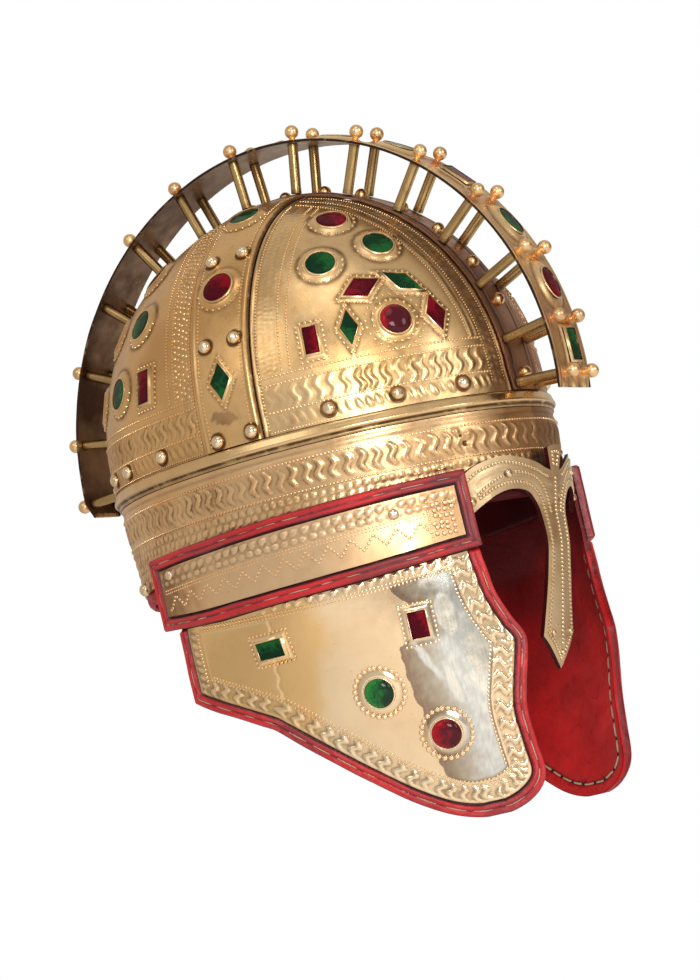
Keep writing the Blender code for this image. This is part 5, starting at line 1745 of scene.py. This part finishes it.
class Graph:
    """A short way to write a node tree."""

    def __init__(self, tree):
        self.tree = tree
        self.links = tree.links

    def node(self, kind, inputs=None, **settings):
        made = self.tree.nodes.new(kind)
        for name, value in settings.items():
            setattr(made, name, value)
        for name, value in (inputs or {}).items():
            self.put(made, name, value)
        return made

    def put(self, node, name, value):
        socket = node.inputs[name]
        if isinstance(value, bpy.types.NodeSocket):
            self.links.new(value, socket)
        else:
            socket.default_value = value

    def math(self, operation, *values, clamp=False):
        made = self.node("ShaderNodeMath", operation=operation, use_clamp=clamp)
        for i, value in enumerate(values):
            self.put(made, i, value)
        return made.outputs[0]

    def mix(self, share, first, second):
        made = self.node("ShaderNodeMix", data_type="RGBA")
        for index, value in ((0, share), (6, first), (7, second)):
            self.put(made, index, value)
        return made.outputs[2]

    def range(self, value, low, high, to_low=0.0, to_high=1.0):
        inputs = {"Value": value, "From Min": low, "From Max": high, "To Min": to_low, "To Max": to_high}
        return self.node("ShaderNodeMapRange", inputs, interpolation_type="SMOOTHSTEP").outputs["Result"]

    def noise(self, place, scale, detail=3.0, rough=0.55, distortion=0.0):
        inputs = {"Vector": place, "Scale": scale, "Detail": detail, "Roughness": rough,
                  "Distortion": distortion}
        return self.node("ShaderNodeTexNoise", inputs).outputs["Fac"]

    def ramp(self, value, stops):
        made = self.node("ShaderNodeValToRGB", {"Fac": value})
        edges = made.color_ramp.elements
        for _ in stops[2:]:
            edges.new(1.0)
        for edge, (place, colour) in zip(edges, stops):
            edge.position, edge.color = place, (*colour, 1)
        return made.outputs["Color"]

    def field(self, name):
        return self.node("ShaderNodeAttribute", attribute_name=name).outputs["Fac"]


def new_material(name):
    made = bpy.data.materials.new(name)
    made.use_nodes = True
    graph = Graph(made.node_tree)
    return made, graph, made.node_tree.nodes["Principled BSDF"]


def object_place(graph, stretch=None):
    place = graph.node("ShaderNodeTexCoord").outputs["Object"]
    if stretch:
        place = graph.node("ShaderNodeMapping", {"Vector": place, "Scale": stretch}).outputs["Vector"]
    return place


# Default colours for the dirt mark and the stain mark on brass; both also paint shade where the marks do.
DIRT_AND_SHADE, STAINED_AND_SHADED = (0.15, 0.075, 0.03, 1), (0.38, 0.21, 0.10, 1)


# Colours of the cheek plate's painted reflections by the stain mark, from brown through olive and silver to
# cream, and the ochre painted towards its back.
SILVER_REFLECTION_TONES = ((0.08, (0.32, 0.19, 0.12)), (0.26, (0.42, 0.32, 0.21)), (0.50, (0.54, 0.46, 0.35)),
            (0.80, (0.74, 0.73, 0.67)),
            (0.97, (0.96, 0.88, 0.72)))
OCHRE_REFLECTION = (0.95, 0.61, 0.27, 1)


def brass(name, bright, warm, dark=DIRT_AND_SHADE, stained_and_shaded=STAINED_AND_SHADED, smoothness=0.27, patchy=1.0, silver_reflection=False,
          streaky=0.0, outer=None):
    """Worn sheet brass: warm blotches, dirt in the hollows, a paler bare colour on what stands out that is
    partly a painted highlight, and stains, with painted shade and reflections where the marks carry them.
    """
    made, graph, shader = new_material(name)
    place = object_place(graph)
    wide = graph.noise(place, 22.0, 4.0)
    small = graph.noise(place, 160.0, 4.0)
    fine = graph.noise(place, 1400.0, 2.0)
    field = graph.field("dirt")
    wear_and_highlight = graph.math("MULTIPLY", field, -0.6, clamp=True)
    dirt = graph.math("MULTIPLY", field, graph.range(small, 0.3, 0.6, 0.45, 0.95), clamp=True)
    mark = graph.field("stain_and_shading")
    clean = graph.mix(graph.range(wide, 0.35, 0.68), (*bright, 1), (*warm, 1))
    if outer:
        across = graph.node("ShaderNodeSeparateXYZ", {"Vector": place}).outputs["X"]
        clean = graph.mix(graph.range(across, 0.048, 0.085), clean, (*outer, 1))
    # The cheek plate's painted reflections: ochre towards the back, the silver tones by the stain mark, and
    # brown below 0.
    if silver_reflection:
        axes = graph.node("ShaderNodeSeparateXYZ", {"Vector": place}).outputs
        reach = graph.math("ADD", axes["Y"], graph.math("MULTIPLY", axes["Z"], 0.3))
        reach = graph.math("ADD", reach, graph.range(wide, 0.3, 0.7, -0.006, 0.006))
        clean = graph.mix(graph.range(reach, -0.113, -0.096), clean, OCHRE_REFLECTION)
        streaks = graph.noise(object_place(graph, (900.0, 900.0, 25.0)), 1.0, 3.0)
        tone = graph.mix(graph.range(streaks, 0.35, 0.70, 0.0, 0.3), graph.ramp(mark, SILVER_REFLECTION_TONES),
                         (0.44, 0.40, 0.33, 1))
        clean = graph.mix(graph.range(mark, 0.01, 0.08), clean, tone)
        brown = graph.math("MULTIPLY", mark, -1.0, clamp=True)
    else:
        brown = graph.math("MULTIPLY", mark, graph.range(wide, 0.32, 0.68, 0.35, 1.2), clamp=True)
    patches = graph.range(graph.noise(place, 38.0, 5.0, 0.6, 0.6), 0.58, 0.78, 0.0, 0.5 * patchy)
    specks = graph.range(graph.noise(place, 420.0, 4.0, 0.6, 0.3), 0.64, 0.74, 0.0, 0.45 * patchy)
    brown = graph.math("MAXIMUM", graph.math("MAXIMUM", brown, patches), specks)
    if streaky:
        runs_down = graph.noise(object_place(graph, (95.0, 95.0, 16.0)), 1.0, 4.0, 0.6, 0.4)
        brown = graph.math("MAXIMUM", brown, graph.range(runs_down, 0.54, 0.74, 0.0, streaky))
    colour = graph.mix(brown, clean, stained_and_shaded)
    # What stands out is painted paler: partly bare worn metal, partly a painted highlight.
    bare_and_highlight = tuple(0.65 * v + 0.35 * w for v, w in zip(bright, (1.0, 0.88, 0.68)))
    colour = graph.mix(wear_and_highlight, colour, (*bare_and_highlight, 1))
    graph.put(shader, "Base Color", graph.mix(dirt, colour, dark))
    rough = graph.math("ADD", graph.range(small, 0.3, 0.7, smoothness - 0.04, smoothness + 0.07),
                       graph.math("MULTIPLY", graph.math("ADD", dirt, brown), 0.16))
    graph.put(shader, "Roughness", graph.math("SUBTRACT", rough, graph.math("MULTIPLY", wear_and_highlight, 0.06)))
    graph.put(shader, "Metallic", 1.0)
    beaten = graph.node("ShaderNodeBump", {"Height": graph.noise(place, 48.0, 2.0), "Strength": 0.22,
                                           "Distance": 1.0 * MM})
    dented = graph.node("ShaderNodeBump", {"Height": graph.noise(place, 300.0, 3.0), "Strength": 0.12,
                                           "Distance": 0.3 * MM, "Normal": beaten.outputs[0]})
    scratched = graph.node("ShaderNodeBump", {"Height": fine, "Strength": 0.07, "Distance": 0.10 * MM,
                                              "Normal": dented.outputs[0]})
    graph.put(shader, "Normal", scratched.outputs[0])
    return made


def leather(name, bright, dull, crease, stained_and_shaded, shine=0.5):
    """Dyed leather with a pebbled grain, paler ridges that are scuffs with a painted sheen, dark creases, and
    dark places that are partly wear and partly painted shade.
    """
    made, graph, shader = new_material(name)
    place = object_place(graph)
    blotch = graph.noise(place, 30.0, 4.0)
    streak = graph.noise(place, 120.0, 5.0, 0.65, 1.2)
    grain = graph.node("ShaderNodeTexVoronoi", {"Vector": place, "Scale": 900.0}).outputs["Distance"]
    colour = graph.mix(graph.range(blotch, 0.35, 0.65), (*bright, 1), (*dull, 1))
    colour = graph.mix(graph.math("MULTIPLY", graph.field("stain_and_shading"), graph.range(blotch, 0.25, 0.6, 0.8, 1.1),
                                  clamp=True), colour, (*stained_and_shaded, 1))
    scuffs_and_sheen = graph.math("MULTIPLY", graph.math("MULTIPLY", graph.field("dirt"), -0.35, clamp=True),
                        graph.range(streak, 0.45, 0.65), clamp=True)
    colour = graph.mix(scuffs_and_sheen, colour, tuple(min(1.0, 1.3 * v + 0.10) for v in bright) + (1,))
    cracks = graph.math("ADD", graph.range(streak, 0.56, 0.72, 0.0, 0.45),
                        graph.math("MULTIPLY", graph.field("dirt"), 0.8, clamp=True), clamp=True)
    graph.put(shader, "Base Color", graph.mix(cracks, colour, (*crease, 1)))
    graph.put(shader, "Roughness", graph.range(streak, 0.3, 0.7, 0.32, 0.56))
    graph.put(shader, "Specular IOR Level", shine)
    ripples = graph.node("ShaderNodeBump", {"Height": streak, "Strength": 0.45, "Distance": 0.6 * MM})
    pebbles = graph.node("ShaderNodeBump", {"Height": grain, "Strength": 0.25, "Distance": 0.15 * MM,
                                            "Normal": ripples.outputs[0]})
    graph.put(shader, "Normal", pebbles.outputs[0])
    return made


def gem(name, colour, deep, glow):
    """Glass over a foil, with its light painted into the colour. A stain mark of 1 picks domes, which get a
    painted glow on their back half and painted shade at their rims, and one from 0 to -1 the flat-cut stones,
    painted brighter on one side."""
    made, graph, shader = new_material(name)
    place = object_place(graph)
    flaws = graph.noise(place, 170.0, 4.0, 0.6, 1.5)
    mark = graph.field("stain_and_shading")
    side = graph.math("ADD", graph.math("MULTIPLY", mark, -1.0, clamp=True),
                      graph.range(flaws, 0.3, 0.7, -0.3, 0.3))
    cut_stone = graph.mix(graph.range(side, 0.35, 1.05), (*deep, 1), (*colour, 1))
    facing = graph.node("ShaderNodeTexCoord").outputs["Normal"]
    turned = graph.node("ShaderNodeVectorMath", {0: facing, 1: (0.0, 0.96, 0.28)}, operation="DOT_PRODUCT")
    gathered = graph.math("ADD", turned.outputs["Value"], graph.range(flaws, 0.3, 0.7, -0.15, 0.15))
    # Domes are painted darker at their rims, as painted shade.
    edge = graph.node("ShaderNodeLayerWeight", {"Blend": 0.35}).outputs["Facing"]
    dome = graph.mix(graph.range(gathered, -0.60, 0.15), (*deep, 1), (*glow, 1))
    dome = graph.mix(graph.range(edge, 0.45, 0.9, 0.0, 0.8), dome, (*deep, 1))
    graph.put(shader, "Base Color", graph.mix(graph.math("MAXIMUM", mark, 0.0), cut_stone, dome))
    graph.put(shader, "Roughness", graph.range(flaws, 0.3, 0.7, 0.03, 0.09))
    graph.put(shader, "Specular IOR Level", graph.range(mark, 0.0, 1.0, 0.05, 0.25))
    graph.put(shader, "IOR", 1.5)
    bump = graph.node("ShaderNodeBump", {"Height": flaws, "Strength": 0.05, "Distance": 0.2 * MM})
    graph.put(shader, "Normal", bump.outputs[0])
    return made


def thread():
    made, graph, shader = new_material("waxed_thread")
    place = object_place(graph)
    wave = graph.node("ShaderNodeTexWave", {"Vector": place, "Scale": 900.0, "Distortion": 2.0})
    twist = wave.outputs["Fac"]
    tone = graph.mix(graph.noise(place, 200.0), (0.38, 0.29, 0.18, 1), (0.58, 0.46, 0.30, 1))
    graph.put(shader, "Base Color", tone)
    graph.put(shader, "Roughness", graph.range(twist, 0.0, 1.0, 0.55, 0.8))
    bump = graph.node("ShaderNodeBump", {"Height": twist, "Strength": 0.5, "Distance": 0.1 * MM})
    graph.put(shader, "Normal", bump.outputs[0])
    return made


def hole_shade():
    # Near-black dots that stand for the stitch holes: painted shade.
    made, graph, shader = new_material("stitch_hole_shade")
    shade = graph.noise(object_place(graph), 300.0)
    graph.put(shader, "Base Color", graph.mix(shade, (0.008, 0.004, 0.004, 1), (0.03, 0.014, 0.012, 1)))
    graph.put(shader, "Roughness", 0.85)
    return made


def set_camera():
    right, up = Vector(CAMERA_RIGHT).normalized(), Vector(CAMERA_UP).normalized()
    back = right.cross(up).normalized()
    up = back.cross(right)
    place = Matrix((right, up, back)).transposed().to_4x4()
    place.translation = Vector(CAMERA_AT) - Vector((0, 0, HEAD_SEAT))
    data = bpy.data.cameras.new("view")
    data.lens = CAMERA_LENS
    data.sensor_width = 36
    data.clip_end = 50
    camera = bpy.data.objects.new("view", data)
    camera.matrix_world = place
    bpy.context.scene.collection.objects.link(camera)
    bpy.context.scene.camera = camera


def softbox(name, way, distance, width, height, power):
    """A soft light that looks at the helmet from this way."""
    data = bpy.data.lights.new(name, "AREA")
    data.shape = "RECTANGLE"
    data.size, data.size_y, data.energy = width, height, power
    light = bpy.data.objects.new(name, data)
    target = Vector((0, 0, -HEAD_SEAT - 0.03))
    light.location = target + Vector(way).normalized() * distance
    light.rotation_euler = (light.location - target).to_track_quat("Z", "Y").to_euler()
    light.visible_camera = False
    bpy.context.scene.collection.objects.link(light)


# The surroundings that the metal mirrors: their tone, and paler or darker fields in it, each with its
# direction, the degrees within which it is full, the degrees at which it ends, and its colour.
ROOM_TONE = (0.56, 0.54, 0.51, 1)
ROOM_PANELS = (
    ((-1.0, -0.4, 0.3), 15, 60, (0.60, 0.60, 0.60, 1)),
    ((-0.35, 0.04, 0.94), 15, 50, (0.46, 0.44, 0.42, 1)),
    ((0.5, 0.3, 0.8), 10, 40, (0.68, 0.65, 0.60, 1)),
    ((0.75, -0.66, -0.02), 12, 42, (0.30, 0.225, 0.16, 1)),
    ((0.1, 0.92, 0.35), 15, 60, (0.58, 0.53, 0.47, 1)),
)


def set_world():
    world = bpy.data.worlds.new("studio")
    bpy.context.scene.world = world
    world.use_nodes = True
    graph = Graph(world.node_tree)
    graph.tree.nodes.clear()
    way = graph.node("ShaderNodeTexCoord").outputs["Generated"]

    def glow(direction, inner, outer):
        dot = graph.node("ShaderNodeVectorMath", {0: way, 1: tuple(unit(direction))}, operation="DOT_PRODUCT")
        return graph.range(dot.outputs["Value"], math.cos(math.radians(outer)), math.cos(math.radians(inner)))
    room = ROOM_TONE
    for direction, inner, outer, colour in ROOM_PANELS:
        room = graph.mix(glow(direction, inner, outer), room, colour)
    lit = graph.node("ShaderNodeBackground", {"Color": room, "Strength": 1.0})
    seen = graph.node("ShaderNodeBackground", {"Color": (1, 1, 1, 1), "Strength": 1.0})
    camera = graph.node("ShaderNodeLightPath").outputs["Is Camera Ray"]
    both = graph.node("ShaderNodeMixShader", {0: camera, 1: lit.outputs[0], 2: seen.outputs[0]})
    graph.node("ShaderNodeOutputWorld", {"Surface": both.outputs[0]})


def floor():
    """A pale round floor that fades into the white surround."""
    made, graph, shader = new_material("pale_floor")
    place = object_place(graph)
    reach = graph.node("ShaderNodeVectorMath", {0: place}, operation="LENGTH").outputs["Value"]
    mottle = graph.noise(place, 3.0)
    seen = graph.node("ShaderNodeLightPath").outputs["Is Camera Ray"]
    pale = graph.mix(mottle, (0.90, 0.90, 0.89, 1), (0.93, 0.93, 0.92, 1))
    graph.put(shader, "Base Color", graph.mix(seen, (0.55, 0.54, 0.53, 1), pale))
    graph.put(shader, "Roughness", 0.9)
    graph.put(shader, "Emission Color", (1, 1, 1, 1))
    back = graph.node("ShaderNodeSeparateXYZ", {"Vector": place}).outputs["Y"]
    glow = graph.node("ShaderNodeMix", data_type="FLOAT")
    for index, value in ((0, seen), (2, graph.range(back, -0.2, 0.9, 0.46, 0.13)),
                         (3, graph.range(reach, 0.35, 1.6, 0.25, 1.0))):
        graph.put(glow, index, value)
    graph.put(shader, "Emission Strength", glow.outputs[0])
    turns = np.arange(96) * math.tau / 96
    points = np.stack((2.6 * np.cos(turns), 2.6 * np.sin(turns), 0 * turns), axis=1)
    mesh = bpy.data.meshes.new("floor")
    mesh.from_pydata(points.tolist(), [], [list(range(96))])
    mesh.materials.append(made)
    obj = bpy.data.objects.new("floor", mesh)
    obj.location.z = FLOOR_LEVEL
    bpy.context.scene.collection.objects.link(obj)
    obj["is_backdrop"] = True


GEM_NODES = {
    "ruby": ("brow_ruby", "cheek_ruby_bar", "cheek_ruby"), "emerald": ("cheek_emerald_bar", "cheek_emerald"),
}
LAMPS = (
    ("key", (-0.77, -0.62, 0.18), 2.4, 0.75, 0.75, 20), ("front", (-0.10, -1.0, 0.22), 1.8, 0.4, 0.7, 4),
    ("side", (-1.0, 0.15, 0.75), 1.8, 0.8, 0.7, 2), ("top", (-0.5, -0.4, 1.0), 1.6, 0.7, 0.7, 2),
)


def plain(bounds):
    return [[float(value) for value in corner] for corner in bounds]


def main():
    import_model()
    cad_box = plain(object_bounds())
    bpy.context.scene.view_settings.view_transform = "Standard"
    set_camera()
    set_world()
    floor()
    for lamp in LAMPS:
        softbox(*lamp)
    front = brass("front_brass", (0.86, 0.58, 0.29), (0.80, 0.49, 0.20))
    copper = brass("far_brass", (0.74, 0.43, 0.25), (0.62, 0.33, 0.18), smoothness=0.32, patchy=1.4,
                   outer=(0.83, 0.55, 0.26))
    old = brass("old_brass", (0.82, 0.51, 0.22), (0.70, 0.40, 0.15), smoothness=0.28, streaky=0.6)
    brow = brass("brow_brass", (0.86, 0.56, 0.29), (0.76, 0.44, 0.20), smoothness=0.25)
    flat = brass("strip_brass", (0.84, 0.56, 0.31), (0.74, 0.44, 0.22), smoothness=0.36, patchy=1.3)
    guard = brass("guard_brass", (0.76, 0.56, 0.33), (0.66, 0.46, 0.25), smoothness=0.30)
    cheek = brass("cheek_brass", (0.98, 0.74, 0.46), (0.93, 0.66, 0.39), (0.42, 0.28, 0.15, 1),
                  (0.17, 0.12, 0.07, 1), 0.17, 0.35, silver_reflection=True)
    strip = brass("tarnished_brass", (0.50, 0.28, 0.18), (0.42, 0.21, 0.13), (0.06, 0.03, 0.02, 1),
                  (0.22, 0.10, 0.06, 1), 0.38, 1.4)
    outer = brass("hoop_brass", (0.94, 0.65, 0.32), (0.82, 0.53, 0.24), (0.05, 0.03, 0.02, 1),
                  (0.62, 0.33, 0.20, 1), 0.30, 1.2)
    # A darker copy of the hoop's brass for its inner face: painted shade.
    inner = brass("hoop_inner_shade", (0.46, 0.31, 0.19), (0.38, 0.24, 0.14), (0.10, 0.05, 0.03, 1),
                  (0.09, 0.040, 0.018, 1), 0.34)
    posts = brass("post_brass", (0.66, 0.44, 0.18), (0.44, 0.28, 0.11), (0.10, 0.05, 0.02, 1),
                  smoothness=0.20, patchy=0.6, streaky=0.8)
    balls = brass("ball_brass", (0.92, 0.62, 0.31), (0.80, 0.50, 0.24), smoothness=0.28, patchy=0.7)
    studs = brass("stud_brass", (0.86, 0.65, 0.40), (0.70, 0.48, 0.25), smoothness=0.16, patchy=0.7)
    bead = brass("bead_brass", (0.86, 0.59, 0.29), (0.76, 0.47, 0.20), (0.12, 0.06, 0.025, 1),
                 smoothness=0.22)
    hide = leather("red_hide", (0.62, 0.013, 0.017), (0.44, 0.009, 0.012), (0.045, 0.012, 0.014),
                   (0.13, 0.028, 0.034))
    # Its stained colour is the painted shade on the inner face of the cheek leather.
    inside = leather("inner_hide", (0.66, 0.009, 0.011), (0.46, 0.006, 0.008), (0.03, 0.003, 0.004),
                     (0.13, 0.005, 0.006), 0.2)
    # Near-black hide: painted shade on the lining and on the nasal guard's edges.
    dark = leather("shaded_dark_hide", (0.075, 0.006, 0.007), (0.050, 0.004, 0.005), (0.030, 0.004, 0.004),
                   (0.40, 0.012, 0.016), 0.1)
    # The third colour of each gem is the painted glow of its domes.
    glass = {"ruby": gem("ruby_glass", (0.20, 0.004, 0.012), (0.070, 0.003, 0.008), (0.40, 0.004, 0.012)),
             "emerald": gem("emerald_glass", (0.012, 0.095, 0.022), (0.006, 0.030, 0.012),
                            (0.018, 0.22, 0.035))}
    sets = [bowl_plate("front", front, copper, studs), bowl_plate("rear", old, old, studs),
            side_band(old, studs)]
    ridge_strip(strip, old)
    rim_bead(bead)
    brow_band(brow, studs)
    lining(dark)
    nasal_guard(guard, studs, dark)
    hoop, hoop_gems = crest_hoop()
    hoop.make("crest_hoop.set", [outer, inner, balls], "dark_brass", ("crest_hoop",))
    crest_posts(posts)
    cheek_leather(hide, thread(), hole_shade(), inside)
    sets.append(cheek_plate(cheek))
    strip_leather(hide, bpy.data.materials["waxed_thread"], bpy.data.materials["stitch_hole_shade"])
    strip_plate(flat, studs)
    for kind, material in glass.items():
        joined = Shape()
        for gems in sets:
            joined.extend(gems[kind])
        joined.make_pair(f"{kind}_stones", [material], kind, GEM_NODES[kind], 32)
        hoop_gems[kind].make(f"hoop_{kind}_stones", [material], kind, (), sharp=32)
    {"cad": cad_box, "visual": plain(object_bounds())}


main()
